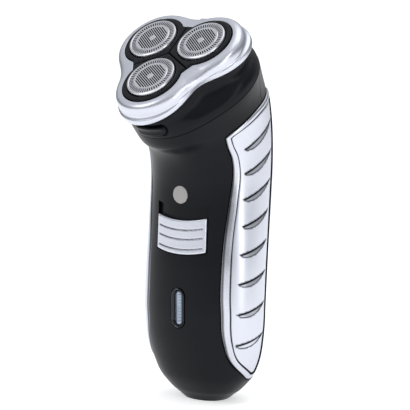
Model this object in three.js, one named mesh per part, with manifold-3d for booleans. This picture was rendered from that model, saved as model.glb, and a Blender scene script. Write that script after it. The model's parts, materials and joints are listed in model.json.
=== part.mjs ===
// A rotary electric shaver with three heads, in millimetres, +Z up.
// It stands on its bottom flat, with the switch side facing -Y. The origin is under the
// middle of its box. The shaving unit leans forward over the handle.

import * as THREE from "three";
import { mergeVertices } from "three/addons/utils/BufferGeometryUtils.js";
import Module from "manifold-3d";

const wasm = await Module();
wasm.setup();

// ---- Driving dimensions ---------------------------------------------------------------

const GAP = 0.3; // clearance between neighbouring pieces
const WALL = 2.4; // thickness of the handle's shell
const AXIS_SHIFT = 12.3; // the handle's own axis stands this far behind the origin

// The head's own frame: y runs up its back, z is normal to the cutters, and z = 0 is the
// plane of the cutter tops.
const HEAD_TILT = THREE.MathUtils.degToRad(40);
const HEAD_CENTRE = new THREE.Vector3(0, -26.4, 143.9);
const CUTTER_ORBIT = 14.1; // from the head's middle to each cutter's axis
const CUTTER_RADIUS = 10.25;
const HOLDER_ARC = 12.5; // radius of the holders' outer edge, about each cutter's axis
const HOLDER_WAIST = 15.3; // from the head's middle to the flats between the holders
const ARC_END = 0.865; // angle from a lobe's middle where the arc meets the flat, in radians
// The silver frame: its three lobes, and its waists at the shoulder and at the lower edge.
const FRAME = { lobe: 30.8, shoulder: 22.4, waist: 20.6, lip: 31.7, wall: 1.4 };
const WAVE = 1.2; // how much higher the joint under the frame is at the waists
const GEAR_MODULE = (2 * CUTTER_ORBIT) / (14 + 28);
const PINION_TEETH = 14;
const GEAR_TEETH = 28;

const SIDES = 24; // points round a section of the handle
const HEAD_SIDES = 36; // points round a section of the head

// Sections of the handle from the bottom up: front y and z, back y and z, half width, and
// how much of the head's three-lobed outline is blended into the oval.
const HANDLE_SECTIONS = [
  [-8.8, 0, 6.6, 0, 9.5, 0],
  [-10.8, 2.4, 7.8, 2.4, 12.8, 0],
  [-13.0, 4.9, 9.7, 4.9, 16.1, 0],
  [-16.1, 9.8, 12.8, 9.8, 20.6, 0],
  [-17.9, 15, 14.4, 15, 23.1, 0],
  [-19.0, 20, 14.8, 20, 24.7, 0],
  [-19.9, 26, 14.7, 26, 25.9, 0],
  [-20.2, 33, 14.5, 33, 26.7, 0],
  [-20.4, 41, 14.4, 41, 27.0, 0],
  [-19.9, 55, 16.3, 55, 26.8, 0],
  [-19.1, 68, 18.3, 68, 26.3, 0],
  [-18.6, 85, 21.8, 85, 25.7, 0],
  [-19.5, 92.5, 22.8, 99, 25.7, 0.15],
  [-22, 98.5, 22.3, 113, 25.8, 0.35],
  [-26, 103, 19.4, 126.5, 26.1, 0.6],
  [-31.2, 105.7, 14.2, 137.1, 27.2, 0.85],
  [-34.35, 109.82, 7.9, 145.3, 29.6, 1],
];
const OVAL_POWER = 2.2;

// Side view, y and z: where the front housing meets the rear one.
const PARTING_LINE = [
  [0, -5], [0, 40], [-1, 60], [1, 90], [1.5, 110], [0.5, 122], [-4, 135], [-12, 152],
];

// Side view, y and z: the outer edge of the trim round each side panel.
const TRIM_OUTLINE = [
  [-15.9, 109.9], [-15.1, 111.1], [-12.4, 113.5], [-7.6, 117.4], [-2.9, 120.8], [2.9, 123.9],
  [8, 126.6], [10.9, 128.2], [11.9, 122], [11.8, 113], [11.3, 100], [10, 85], [8, 68],
  [6.2, 55], [5.2, 41], [4.6, 28], [4.1, 18], [2.4, 11.6], [-1.4, 10.4], [-6.4, 13.4],
  [-12, 19], [-14.9, 27], [-16, 41], [-15.4, 55], [-13.9, 70], [-11.9, 85], [-11, 95],
  [-12, 101.5], [-13.9, 105.5], [-15.3, 108.5],
];
const TRIM_WIDTH = 2.2; // measured on the skin
const TRIM_STEP = 0.7; // how far the trim stands above the housing
const PANEL_STEP = 0.4;
const RECESS_DEPTH = 1.0;
const GROOVE_COUNT = 8;

const SWITCH = { halfWidth: 12.3, bottom: 63.5, top: 77.3, sag: 1.5, travel: 4.6 };
const LAMP = { z: 40, width: 6.4, height: 16, rim: 1.0 };
const BADGE = { z: 86, radius: 3.6 };
const INLET = { width: 10.4, depth: 6.2, height: 10.2, recess: 9 };
const RELEASE = { level: -16.5, width: 14.4, height: 4.2, front: -29.2, back: -25.6 };
const HINGE_PIN = { y: 25.6, z: -10.4, radius: 0.9, knuckle: 1.6 };
const TRIMMER = { halfWidth: 15, bottom: 101.1, top: 133.2, pinY: 21.5, pinZ: 102.2 };
const TRIMMER_SLIDER = { halfWidth: 6, bottom: 87.6, height: 6, travel: 4.3 };
const MOTOR = { radius: 11, top: -25, bottom: -50 };
const BATTERY = { radius: 7.2, bottom: 14, top: 64, x: 8, y: 2.2 };

// ---- Finishes -------------------------------------------------------------------------

const finish = (color, roughness, metalness) =>
  new THREE.MeshStandardMaterial({ color, roughness, metalness });
const BLACK = finish(0x15171c, 0.42, 0);
const SILVER = finish(0xc9ccd4, 0.35, 0.85);
const CHROME = finish(0xdfe2e8, 0.12, 1);
const NICKEL = finish(0xb9bbbf, 0.25, 1);
const STEEL = finish(0x9a9da2, 0.3, 1);
const BRASS = finish(0xb08d45, 0.35, 1);
const WHITE_GEAR = finish(0xe6e4dc, 0.5, 0);
const GREY_BADGE = finish(0x8f8d8b, 0.5, 0.2);
const LENS = finish(0xd7e4f2, 0.15, 0);
const BOARD_GREEN = finish(0x1d5a35, 0.5, 0);
const CELL_GREEN = finish(0x3d7d4a, 0.4, 0);
const GREY_PLASTIC = finish(0x55585e, 0.5, 0);

// ---- Solids ---------------------------------------------------------------------------

/** A closed geometry as a manifold solid, with its faces turned outwards. */
function solid(geometry) {
  const bare = geometry.clone();
  bare.deleteAttribute("normal");
  bare.deleteAttribute("uv");
  const merged = mergeVertices(bare, 1e-4);
  const points = merged.attributes.position;
  const corner = [0, 1, 2].map(() => new THREE.Vector3());
  const faces = [];
  let volume = 0;
  for (let i = 0; i < merged.index.count; i += 3) {
    const face = [0, 1, 2].map((k) => merged.index.getX(i + k));
    if (new Set(face).size < 3) continue;
    faces.push(face);
    face.forEach((k, n) => corner[n].fromBufferAttribute(points, k));
    volume += corner[0].dot(corner[1].cross(corner[2]));
  }
  const outward = volume < 0 ? faces.map(([a, b, c]) => [a, c, b]) : faces;
  return new wasm.Manifold(
    new wasm.Mesh({
      numProp: 3,
      vertProperties: new Float32Array(points.array),
      triVerts: new Uint32Array(outward.flat()),
    }),
  );
}

/** The three.js geometry of a manifold solid. */
function geometryOf(body) {
  const mesh = body.getMesh();
  const geometry = new THREE.BufferGeometry();
  geometry.setAttribute("position", new THREE.BufferAttribute(mesh.vertProperties, 3));
  geometry.setIndex(new THREE.BufferAttribute(mesh.triVerts, 1));
  geometry.computeVertexNormals();
  return geometry;
}

/** Adds one named piece, from a manifold solid, to a group. */
function piece(group, name, body, material) {
  const mesh = new THREE.Mesh(geometryOf(body), material);
  mesh.name = name;
  group.add(mesh);
  return mesh;
}

const join = (...bodies) => bodies.reduce((whole, body) => whole.add(body));
const cut = (body, ...tools) => tools.reduce((rest, tool) => rest.subtract(tool), body);

const box = (width, depth, height, x, y, z) =>
  solid(new THREE.BoxGeometry(width, depth, height).translate(x, y, z));

/** A box from its lowest and highest corners. */
const boxBetween = (x0, x1, y0, y1, z0, z1) =>
  box(x1 - x0, y1 - y0, z1 - z0, (x0 + x1) / 2, (y0 + y1) / 2, (z0 + z1) / 2);

/** A round bar with its axis along z, from z0 to z1. */
const bar = (radius, z0, z1, x = 0, y = 0, sides = 24) =>
  solid(
    new THREE.CylinderGeometry(radius, radius, z1 - z0, sides)
      .rotateX(Math.PI / 2)
      .translate(x, y, (z0 + z1) / 2),
  );

/** A round bar with its axis along x. */
const barAlongX = (radius, x0, x1, y, z, sides = 16) =>
  solid(
    new THREE.CylinderGeometry(radius, radius, x1 - x0, sides)
      .rotateZ(Math.PI / 2)
      .translate((x0 + x1) / 2, y, z),
  );

/** A round bar with its axis along y. */
const barAlongY = (radius, y0, y1, x, z, sides = 16) =>
  solid(new THREE.CylinderGeometry(radius, radius, y1 - y0, sides).translate(x, (y0 + y1) / 2, z));

/** A turned piece about z. The profile lists radius and z, and closes on itself. */
function turned(profile, sides = 24) {
  const points = [...profile, profile[0]].map(([r, z]) => new THREE.Vector2(r, z));
  return solid(new THREE.LatheGeometry(points, sides).rotateX(Math.PI / 2));
}

const shapeOf = (points) => new THREE.Shape(points.map(([a, b]) => new THREE.Vector2(a, b)));

const AXIS = {
  x: new THREE.Vector3(1, 0, 0),
  y: new THREE.Vector3(0, 1, 0),
  z: new THREE.Vector3(0, 0, 1),
};

const extruded = (shape, depth, curveSegments = 6) =>
  new THREE.ExtrudeGeometry(shape, { depth, bevelEnabled: false, curveSegments });

/** A side-view shape, drawn in y and z, as a prism from x0 to x1. */
const prismAlongX = (shape, x0, x1, curveSegments = 6) =>
  solid(
    extruded(shape, x1 - x0, curveSegments)
      .applyMatrix4(new THREE.Matrix4().makeBasis(AXIS.y, AXIS.z, AXIS.x))
      .translate(x0, 0, 0),
  );

/** A front-view shape, drawn in x and z, as a prism from y0 back to y1. */
const prismAlongY = (shape, y0, y1) =>
  solid(
    extruded(shape, y1 - y0)
      .applyMatrix4(new THREE.Matrix4().makeBasis(AXIS.x, AXIS.z, AXIS.y.clone().negate()))
      .translate(0, y1, 0),
  );

/** A top-view shape as a prism from z0 to z1. */
const prismAlongZ = (shape, z0, z1, curveSegments = 6) =>
  solid(extruded(shape, z1 - z0, curveSegments).translate(0, 0, z0));

/** A skin over a row of rings with the same number of points, its two ends capped. */
function loft(rings) {
  const sides = rings[0].length;
  const middle = (ring) =>
    ring.reduce((sum, point) => sum.add(point), new THREE.Vector3()).divideScalar(sides);
  const points = [...rings.flat(), middle(rings[0]), middle(rings.at(-1))];
  const bottom = sides * rings.length;
  const faces = [];
  for (let side = 0; side < sides; side++) {
    const next = (side + 1) % sides;
    for (let row = 0; row < rings.length - 1; row++) {
      const [a, b] = [row * sides + side, row * sides + next];
      faces.push(a, b, b + sides, a, b + sides, a + sides);
    }
    const top = sides * (rings.length - 1);
    faces.push(bottom, next, side, bottom + 1, top + side, top + next);
  }
  const geometry = new THREE.BufferGeometry().setFromPoints(points);
  geometry.setIndex(faces);
  return solid(geometry);
}

/** An upright or lying pill outline about (x, y). */
function pill(width, height, x = 0, y = 0, Kind = THREE.Shape) {
  const radius = Math.min(width, height) / 2;
  const [dx, dy] = [width / 2 - radius, height / 2 - radius];
  const start = height > width ? 0 : -Math.PI / 2;
  const outline = new Kind();
  outline.absarc(x + dx, y + dy, radius, start, start + Math.PI);
  outline.absarc(x - dx, y - dy, radius, start + Math.PI, start + 2 * Math.PI);
  return outline;
}

// ---- Curves of the handle and the head ------------------------------------------------

/** A row between the table's rows, at t counted in rows, on a smooth curve through them. */
function between(rows, t) {
  const last = rows.length - 1;
  const i = Math.min(Math.floor(t), last - 1);
  const u = t - i;
  const row = (k) => rows[Math.max(0, Math.min(last, k))];
  return rows[i].map((q, column) => {
    const [p, r, s] = [row(i - 1)[column], row(i + 1)[column], row(i + 2)[column]];
    return q + 0.5 * u * (r - p + u * (2 * p - 5 * q + 4 * r - s + u * (3 * (q - r) + s - p)));
  });
}

/** Radius of the three-lobed outline at an angle from the front lobe, which can be cut back. */
function lobedRadius(lobe, notch, angle, frontCut = 0) {
  const swing = (lobe - notch) / 2;
  const flattening = -0.088 * swing;
  const mean = (lobe + notch) / 2 - flattening;
  const radius = mean + swing * Math.cos(3 * angle) + flattening * Math.cos(6 * angle);
  return radius - frontCut * Math.max(0, Math.cos(angle)) ** 2;
}

/** Radius of the holders' common edge, grown by a margin, at an angle from the front. */
function holderRadius(angle, margin = 0) {
  const third = (2 * Math.PI) / 3;
  const fromLobe = Math.abs(angle - third * Math.round(angle / third));
  const reach = CUTTER_ORBIT * Math.sin(fromLobe);
  const arc = HOLDER_ARC + margin;
  const round = CUTTER_ORBIT * Math.cos(fromLobe) + Math.sqrt(Math.max(0, arc ** 2 - reach ** 2));
  const flat = (HOLDER_WAIST + margin) / Math.cos(third / 2 - fromLobe);
  return fromLobe < ARC_END ? round : flat;
}

/** Points of a head section at height z, from a radius function of the angle. */
function headRing(radiusAt, z, sides = HEAD_SIDES) {
  return Array.from({ length: sides }, (_, i) => {
    const angle = (2 * Math.PI * i) / sides;
    const radius = radiusAt(angle);
    return new THREE.Vector3(radius * Math.sin(angle), -radius * Math.cos(angle), z);
  });
}

/** Raises a head section towards its three waists. */
const waved = (ring, rise) =>
  ring.map((p) => p.setZ(p.z + (rise * (1 - Math.cos(3 * Math.atan2(p.x, -p.y)))) / 2));

/** A lobed solid from rows of z, lobe radius, notch radius, front cut and rise. */
const lobedSolid = (rows, margin = 0) =>
  loft(
    rows.map(([z, lobe, notch, frontCut, rise = 0]) => {
      const radiusAt = (angle) => lobedRadius(lobe + margin, notch + margin, angle, frontCut);
      return waved(headRing(radiusAt, z), rise);
    }),
  );

const signedPower = (value, power) => Math.sign(value) * Math.abs(value) ** power;
const SEAM = { lobe: 30.6, notch: 27.2, frontCut: 2.6, halfWidth: 29.6 };

/** One section of the handle, its skin moved outwards by an offset. */
function handleRing(t, offset = 0) {
  const [frontY, frontZ, backY, backZ, halfWidth, lobed] = between(HANDLE_SECTIONS, t);
  const middle = new THREE.Vector3(0, (frontY + backY) / 2, (frontZ + backZ) / 2);
  const back = new THREE.Vector3(0, backY - frontY, backZ - frontZ).divideScalar(2);
  back.setLength(back.length() + offset);
  return Array.from({ length: SIDES }, (_, i) => {
    const angle = (2 * Math.PI * i) / SIDES;
    const radius = lobedRadius(SEAM.lobe, SEAM.notch, angle, SEAM.frontCut);
    const seamFront = SEAM.lobe - SEAM.frontCut;
    const lobedX = (radius * Math.sin(angle)) / SEAM.halfWidth;
    const lobedY =
      (-2 * radius * Math.cos(angle) + seamFront - SEAM.notch) / (seamFront + SEAM.notch);
    const ovalX = signedPower(Math.sin(angle), 2 / OVAL_POWER);
    const ovalY = -signedPower(Math.cos(angle), 2 / OVAL_POWER);
    const x = (halfWidth + offset) * THREE.MathUtils.lerp(ovalX, lobedX, lobed);
    const along = THREE.MathUtils.lerp(ovalY, lobedY, lobed);
    return new THREE.Vector3(x, 0, 0).add(middle).addScaledVector(back, along);
  });
}

/** The handle's outer form moved by an offset, from a given section, with an open-ended top. */
function handleForm(offset = 0, firstSection = 0, rise = 0) {
  const last = HANDLE_SECTIONS.length - 1;
  const rings = [];
  for (let t = firstSection; t <= last; t++) rings.push(handleRing(t, offset));
  if (rise > 0) {
    const lift = new THREE.Vector3(0, 0, rise).applyAxisAngle(AXIS.x, HEAD_TILT);
    rings.push(rings.at(-1).map((point) => point.clone().add(lift)));
  }
  return loft(rings);
}

/** A slice of the handle's skin between two offsets. */
const skin = (inner, outer) => handleForm(outer, 0, 3).subtract(handleForm(inner, 0, 6));

/** A closed smooth curve through a few points, as a list of points. */
function smoothLoop(points, count) {
  const knots = points.map(([a, b]) => new THREE.Vector3(a, b, 0));
  const curve = new THREE.CatmullRomCurve3(knots, true, "centripetal");
  return curve.getSpacedPoints(count).slice(0, count).map((p) => [p.x, p.y]);
}

/** Moves a closed outline inwards, leaving out what would cross itself. The distance is
 *  measured on the skin, which looks narrower from the side where it turns to the front. */
function inset(points, distance) {
  const seen = (y) => distance * (0.62 + 0.38 * THREE.MathUtils.clamp((y + 14) / 10, 0, 1));
  const area = points.reduce((sum, [a, b], i) => {
    const [c, d] = points[(i + 1) % points.length];
    return sum + a * d - b * c;
  }, 0);
  const turn = Math.sign(area);
  const moved = points.map(([a, b], i) => {
    const [pa, pb] = points.at(i - 1);
    const [na, nb] = points[(i + 1) % points.length];
    const length = Math.hypot(na - pa, nb - pb);
    const [alongA, alongB] = [(na - pa) / length, (nb - pb) / length];
    return [a - turn * seen(a) * alongB, b + turn * seen(a) * alongA];
  });
  return moved.filter(([a, b]) =>
    points.every(([c, d]) => Math.hypot(a - c, b - d) > Math.abs(seen(a)) * 0.85),
  );
}

// ---- Handle: housings, side panels and trims ------------------------------------------

const trimOutline = smoothLoop(TRIM_OUTLINE, 38);
const panelOutline = inset(trimOutline, TRIM_WIDTH + GAP);

/** The switch's front-view outline: a band whose long edges sag in the middle. */
function switchOutline(margin, extraTop = 0) {
  const half = SWITCH.halfWidth + margin;
  const steps = Array.from({ length: 9 }, (_, i) => -1 + i / 4);
  const sag = (s) => -SWITCH.sag * (1 - s * s);
  const bottom = steps.map((s) => [half * s, SWITCH.bottom - margin + sag(s)]);
  const top = steps.map((s) => [half * s, SWITCH.top + margin + extraTop + sag(s)]);
  return shapeOf([...bottom, ...top.reverse()]);
}

/** The front-view outline of the rounded rectangle that the trimmer fills. */
function trimmerOutline(margin, extraBottom = 0) {
  const half = TRIMMER.halfWidth + margin;
  const low = TRIMMER.bottom - margin - extraBottom;
  const high = TRIMMER.top + margin;
  const corner = 5;
  const shape = new THREE.Shape();
  shape.moveTo(-half, low);
  shape.lineTo(half, low);
  shape.absarc(half - corner, high - corner, corner, 0, Math.PI / 2);
  shape.absarc(corner - half, high - corner, corner, Math.PI / 2, Math.PI);
  return shape;
}

function sliderOutline(margin, extraTop = 0) {
  const { halfWidth, bottom, height } = TRIMMER_SLIDER;
  const shape = new THREE.Shape();
  const half = halfWidth + margin;
  shape.moveTo(-half, bottom - margin);
  shape.lineTo(half, bottom - margin);
  shape.lineTo(half, bottom + height + margin + extraTop);
  shape.lineTo(-half, bottom + height + margin + extraTop);
  return shape;
}

const SCREWS = [
  { name: "housing_screw_lower", z: 21, back: 14.5 },
  { name: "housing_screw_upper", z: 76, back: 20 },
];

/** A boss inside the rear housing for a screw, and the stepped hole through it. */
function screwSeat({ z, back }) {
  const boss = barAlongY(4.2, back - 5.2, back - 1.2, 0, z);
  const head = barAlongY(2.8, back - 2.6, back + 4, 0, z);
  const shank = barAlongY(1.5, back - 8, back, 0, z);
  return { boss, hole: head.add(shank) };
}

function housings() {
  const panelRecess = prismAlongX(shapeOf(inset(trimOutline, -GAP)), 5, 45).subtract(
    handleForm(-RECESS_DEPTH, 0, 6),
  );
  const recesses = panelRecess.add(panelRecess.mirror([1, 0, 0]));
  const outer = handleForm();
  const cavity = handleForm(-WALL, 2, 2);
  const shell = cut(outer, cavity, recesses);

  const frontEdge = [...PARTING_LINE, [-70, 152], [-70, -5]];
  const rearEdge = [...PARTING_LINE.map(([y, z]) => [y + GAP, z]), [60, 152], [60, -5]];
  const inletHole = prismAlongZ(pill(INLET.width + 2 * GAP, INLET.depth + 2 * GAP), -1, 8);

  const switchWell = prismAlongY(switchOutline(0.4, SWITCH.travel), -30, 0).subtract(
    handleForm(-1.2, 0, 1),
  );
  const switchSlot = boxBetween(-1.9, 1.9, -25, -12, 66.8, 75.4);
  const lampHole = prismAlongY(pill(LAMP.width + 2 * GAP, LAMP.height + 2 * GAP, 0, LAMP.z), -30, -8);
  const badgeSeat = barAlongY(BADGE.radius + GAP, -25, -18.0, 0, BADGE.z, 32);
  const front = cut(
    shell.intersect(prismAlongX(shapeOf(frontEdge), -45, 45)),
    inletHole, switchWell, switchSlot, lampHole, badgeSeat,
  );

  const seats = SCREWS.map(screwSeat);
  const well = 6.8;
  const tray = prismAlongY(trimmerOutline(1.9, 0.7), 0, 40).intersect(
    handleForm(-0.5).subtract(handleForm(-well - 1.2)),
  );
  const trimmerWell = prismAlongY(trimmerOutline(0.5, 0.5), 0, 40).subtract(handleForm(-well));
  const sliderWell = prismAlongY(sliderOutline(0.35, TRIMMER_SLIDER.travel), 5, 40).subtract(
    handleForm(-1.3, 0, 1),
  );
  const rear = cut(
    join(
      shell.intersect(prismAlongX(shapeOf(rearEdge), -45, 45)),
      tray,
      ...seats.map(({ boss }) => boss),
    ),
    inletHole, trimmerWell, sliderWell, ...seats.map(({ hole }) => hole),
  );
  return { front, rear };
}

/** One groove of a side panel: a leaf with a round front tip and a full belly. */
function groove(k) {
  const start = new THREE.Vector2(
    -9.9 + 2.4 * Math.cos(((k - 1) * Math.PI) / 5.2),
    104.95 - 9.5 * k - 0.25 * k * k,
  );
  const slope = THREE.MathUtils.degToRad(16 + 18.5 * (1 - k / (GROOVE_COUNT - 1)) ** 2);
  const run = 4.9 + 3.5 * Math.cos((k * Math.PI) / 6.5) - start.x;
  const chord = new THREE.Vector2(run, run * Math.tan(slope));
  const across = new THREE.Vector2(-Math.sin(slope), Math.cos(slope));
  const at = (share, lift) => [
    start.x + chord.x * share + across.x * lift,
    start.y + chord.y * share + across.y * lift,
  ];
  const leaf = new THREE.Shape();
  leaf.moveTo(...at(0, 0));
  leaf.bezierCurveTo(...at(0, -2.4), ...at(0.5, -4), ...at(1, 0));
  leaf.bezierCurveTo(...at(0.7, -0.5), ...at(0.25, -0.2), ...at(0, 0));
  return leaf;
}

/** All the grooves of a side panel, as one cutting tool. */
function grooveCutter() {
  const leaves = Array.from({ length: GROOVE_COUNT }, (_, k) => groove(k));
  return prismAlongX(leaves, 5, 45, 4).subtract(handleForm(0.1, 0, 6));
}

function sidePanels(group) {
  const { front, rear } = housings();
  piece(group, "front_housing", front, BLACK);
  piece(group, "rear_housing", rear, BLACK);

  const panel = prismAlongX(shapeOf(panelOutline), 5, 45)
    .intersect(skin(-RECESS_DEPTH + GAP, PANEL_STEP))
    .subtract(grooveCutter());
  const ring = prismAlongX(shapeOf(trimOutline), 5, 45).subtract(
    prismAlongX(shapeOf(inset(trimOutline, TRIM_WIDTH)), 0, 50),
  );
  const trim = ring.intersect(skin(-RECESS_DEPTH + GAP, TRIM_STEP));
  for (const [side, flip] of [["right", false], ["left", true]]) {
    const placed = (body) => (flip ? body.mirror([1, 0, 0]) : body);
    piece(group, `${side}_side_panel`, placed(panel), SILVER);
    piece(group, `${side}_panel_trim`, placed(trim), CHROME);
  }
}

// ---- Handle: switch, lamp, badge and inlet --------------------------------------------

function switchSlider(group) {
  const cap = prismAlongY(switchOutline(0), -30, 0).intersect(skin(-0.75, 0.7));
  const grips = [0.28, 0.55, 0.85].map((share) => {
    const z = SWITCH.top - share * (SWITCH.top - SWITCH.bottom);
    const steps = Array.from({ length: 9 }, (_, i) => -1 + i / 4);
    const edge = (rise) =>
      steps.map((s) => [10.6 * s, z - SWITCH.sag * (1 - s * s) + rise * (1 - s * s)]);
    return prismAlongY(shapeOf([...edge(-0.45), ...edge(0.45).reverse()]), -30, 0).subtract(
      handleForm(0.2, 0, 6),
    );
  });
  const stem = boxBetween(-1.5, 1.5, -19, -15.3, 67.2, 70.6);
  piece(group, "switch_slider", cut(cap, ...grips).add(stem), SILVER);
  piece(group, "switch_contact_block", boxBetween(-4, 4, -15, -11.9, 64, 78), GREY_PLASTIC);
}

function chargeLamp(group) {
  const { z, width, height, rim } = LAMP;
  const frontY = -20.6;
  const ring = pill(width, height, 0, z);
  ring.holes.push(pill(width - 2 * rim, height - 2 * rim, 0, z, THREE.Path));
  piece(group, "indicator_bezel", prismAlongY(ring, frontY, -17.6), CHROME);
  const lens = pill(width - 2 * rim - 2 * GAP, height - 2 * rim - 2 * GAP, 0, z);
  piece(group, "indicator_lens", prismAlongY(lens, frontY + 0.4, -17.6), LENS);
  piece(group, "indicator_led", barAlongY(1.5, -16.4, -11.9, 0, z, 16), LENS);
}

function badge(group) {
  piece(group, "badge_disc", barAlongY(BADGE.radius, -18.9, -18.3, 0, BADGE.z, 32), GREY_BADGE);
}

function powerInlet(group) {
  const { width, depth, height, recess } = INLET;
  const block = prismAlongZ(pill(width, depth), 0.2, height);
  const socket = prismAlongZ(pill(width - 1.6, depth - 1.6), -1, recess);
  const pinX = 2;
  const pinHoles = [-pinX, pinX].map((x) => bar(1.0, 5, height + 3, x, 0, 12));
  piece(group, "power_inlet", cut(block, socket, ...pinHoles), BLACK);
  for (const [side, x] of [["left", -pinX], ["right", pinX]]) {
    piece(group, `inlet_pin_${side}`, bar(0.7, 4.8, height + 1.6, x, 0, 12), NICKEL);
  }
}

// ---- Handle: what it holds ------------------------------------------------------------

function powerPack(group) {
  const { radius, bottom, top, x, y } = BATTERY;
  const profile = [
    [0, bottom], [radius, bottom], [radius, top - 1.5], [3, top - 1.5], [3, top], [0, top],
  ];
  for (const [side, sign] of [["left", -1], ["right", 1]]) {
    const cell = turned(profile).translate([sign * x, y, 0]);
    piece(group, `battery_${side}`, cell, CELL_GREEN);
  }
  const back = y - radius - GAP - 1.2;
  const tray = boxBetween(-15, 15, back, back + 1.2, bottom - 1.6, top + 2);
  const ends = [bottom - 1.6, top + 0.5].map((z) => boxBetween(-12, 12, back, y + 3, z, z + 1.2));
  piece(group, "battery_holder", join(tray, ...ends), GREY_PLASTIC);
  piece(group, "circuit_board", boxBetween(-14, 14, -11.6, -10, 20, 90), BOARD_GREEN);
}

/** A countersunk screw pushed in from the back. */
function housingScrews(group) {
  for (const { name, z, back } of SCREWS) {
    const head = barAlongY(2.3, back - 2.3, back - 0.7, 0, z);
    const shank = barAlongY(1.2, back - 7.6, back - 2.3, 0, z, 12);
    const cross = [boxBetween(-1.5, 1.5, back - 1.5, back, z - 0.3, z + 0.3),
      boxBetween(-0.3, 0.3, back - 1.5, back, z - 1.5, z + 1.5)];
    piece(group, name, cut(head.add(shank), ...cross), STEEL);
  }
}

// ---- Drive: motor, gears and spindles -------------------------------------------------

const involute = (cosine) => Math.tan(Math.acos(cosine)) - Math.acos(cosine);

/** The outline of a spur gear whose first tooth points along a given angle. */
function gearShape(teeth, firstTooth, bore) {
  const pitch = (GEAR_MODULE * teeth) / 2;
  const cosine = Math.cos(THREE.MathUtils.degToRad(20));
  const base = pitch * cosine;
  const tip = pitch + 0.92 * GEAR_MODULE;
  const root = pitch - 1.22 * GEAR_MODULE;
  const halfAtPitch = Math.PI / (2 * teeth) - 0.09 / pitch;
  const half = (radius) => halfAtPitch + involute(cosine) - involute(base / radius);
  const points = [];
  for (let tooth = 0; tooth < teeth; tooth++) {
    const middle = firstTooth + (2 * Math.PI * tooth) / teeth;
    points.push([root, middle - half(base)], [tip, middle - half(tip)]);
    points.push([tip, middle + half(tip)], [root, middle + half(base)]);
  }
  const shape = shapeOf(points.map(([r, angle]) => [r * Math.cos(angle), r * Math.sin(angle)]));
  shape.holes.push(new THREE.Path().absarc(0, 0, bore, 0, 2 * Math.PI, true));
  return shape;
}

/** The three cutter places, each with its angle about the head's middle. */
const PLACES = [
  { name: "front", turn: 0 },
  { name: "right", turn: (2 * Math.PI) / 3 },
  { name: "left", turn: (4 * Math.PI) / 3 },
];

/** A group at one cutter's axis, its own -y pointing away from the head's middle. */
function atCutter(head, { turn }) {
  const arm = new THREE.Group();
  arm.rotation.z = turn;
  const place = new THREE.Group();
  place.position.y = -CUTTER_ORBIT;
  arm.add(place);
  head.add(arm);
  return place;
}

function driveTrain(head) {
  const [low, high] = [-22, -20.2];
  piece(head, "motor_pinion", prismAlongZ(gearShape(PINION_TEETH, 0, 1.1), low, high), BRASS);
  for (const place of PLACES) {
    const towards = place.turn - Math.PI / 2;
    const toothAt = (PINION_TEETH * towards) / (2 * Math.PI);
    const firstTooth = towards + Math.PI - (2 * Math.PI * (0.5 - toothAt)) / GEAR_TEETH;
    const gear = prismAlongZ(gearShape(GEAR_TEETH, firstTooth - place.turn, 1.75), low, high);
    const spot = atCutter(head, place);
    piece(spot, `drive_gear_${place.name}`, gear, WHITE_GEAR);
    const spindle = turned([
      [0, -22.5], [1.4, -22.5], [1.4, -18.8], [2.1, -18.8], [2.1, -18.2], [1.4, -18.2],
      [1.4, -6.4], [0.8, -5.8], [0, -5.8],
    ], 16);
    piece(spot, `drive_spindle_${place.name}`, spindle, STEEL);
  }
  const plate = lobedSolid([[-24.2, 24.6, 21, 1.5], [-22.9, 24.6, 21, 1.5]]);
  piece(head, "gear_plate", cut(plate, bar(2.6, -25, -22)), GREY_PLASTIC);
}

function motor(head) {
  const { radius, top, bottom } = MOTOR;
  const can = turned([
    [2.4, top], [radius, top], [radius, bottom], [radius - 1, bottom], [radius - 1, top - 1],
    [2.4, top - 1],
  ], 32);
  piece(head, "motor_can", can, STEEL);
  const cap = turned([
    [1.4, bottom - 1.2], [radius - 1.3, bottom - 1.2], [radius - 1.3, bottom + 1.5],
    [1.4, bottom + 1.5],
  ], 32);
  piece(head, "motor_end_cap", cap, BLACK);
  const rotor = turned([
    [0, bottom - 0.6], [0.8, bottom - 0.6], [0.8, bottom + 3], [7.6, bottom + 3],
    [7.6, top - 4], [0.8, top - 4], [0.8, -18.9], [0, -18.9],
  ]);
  piece(head, "motor_rotor", rotor, STEEL);
}

// ---- Head: hair chamber, frame, holders and cutters -----------------------------------

const CHAMBER_ROWS = [
  [-20.7, 30.6, 27.2, 2.6], [-18, 30.6, 27, 2.6], [-16, 30.2, 25.3, 2.2], [-14, 29, 22.4, 1.1],
  [-11.9, 28.9, 20.9, 0.6, 0.4 * WAVE], [-9.8, 30.2, 20.6, 0, WAVE],
];
const FLOOR = { low: -17.8, high: -16.2 };

/** Knuckles round the head's hinge pin, each with an arm that reaches a wall. */
function knuckles(spans, armLow, armHigh) {
  const { y, z, radius, knuckle } = HINGE_PIN;
  const blocks = spans.map(([x0, x1]) =>
    barAlongX(knuckle, x0, x1, y, z).add(boxBetween(x0, x1, 20.2, y, armLow, armHigh)),
  );
  return cut(join(...blocks), barAlongX(radius + GAP, -8, 8, y, z, 12));
}

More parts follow.
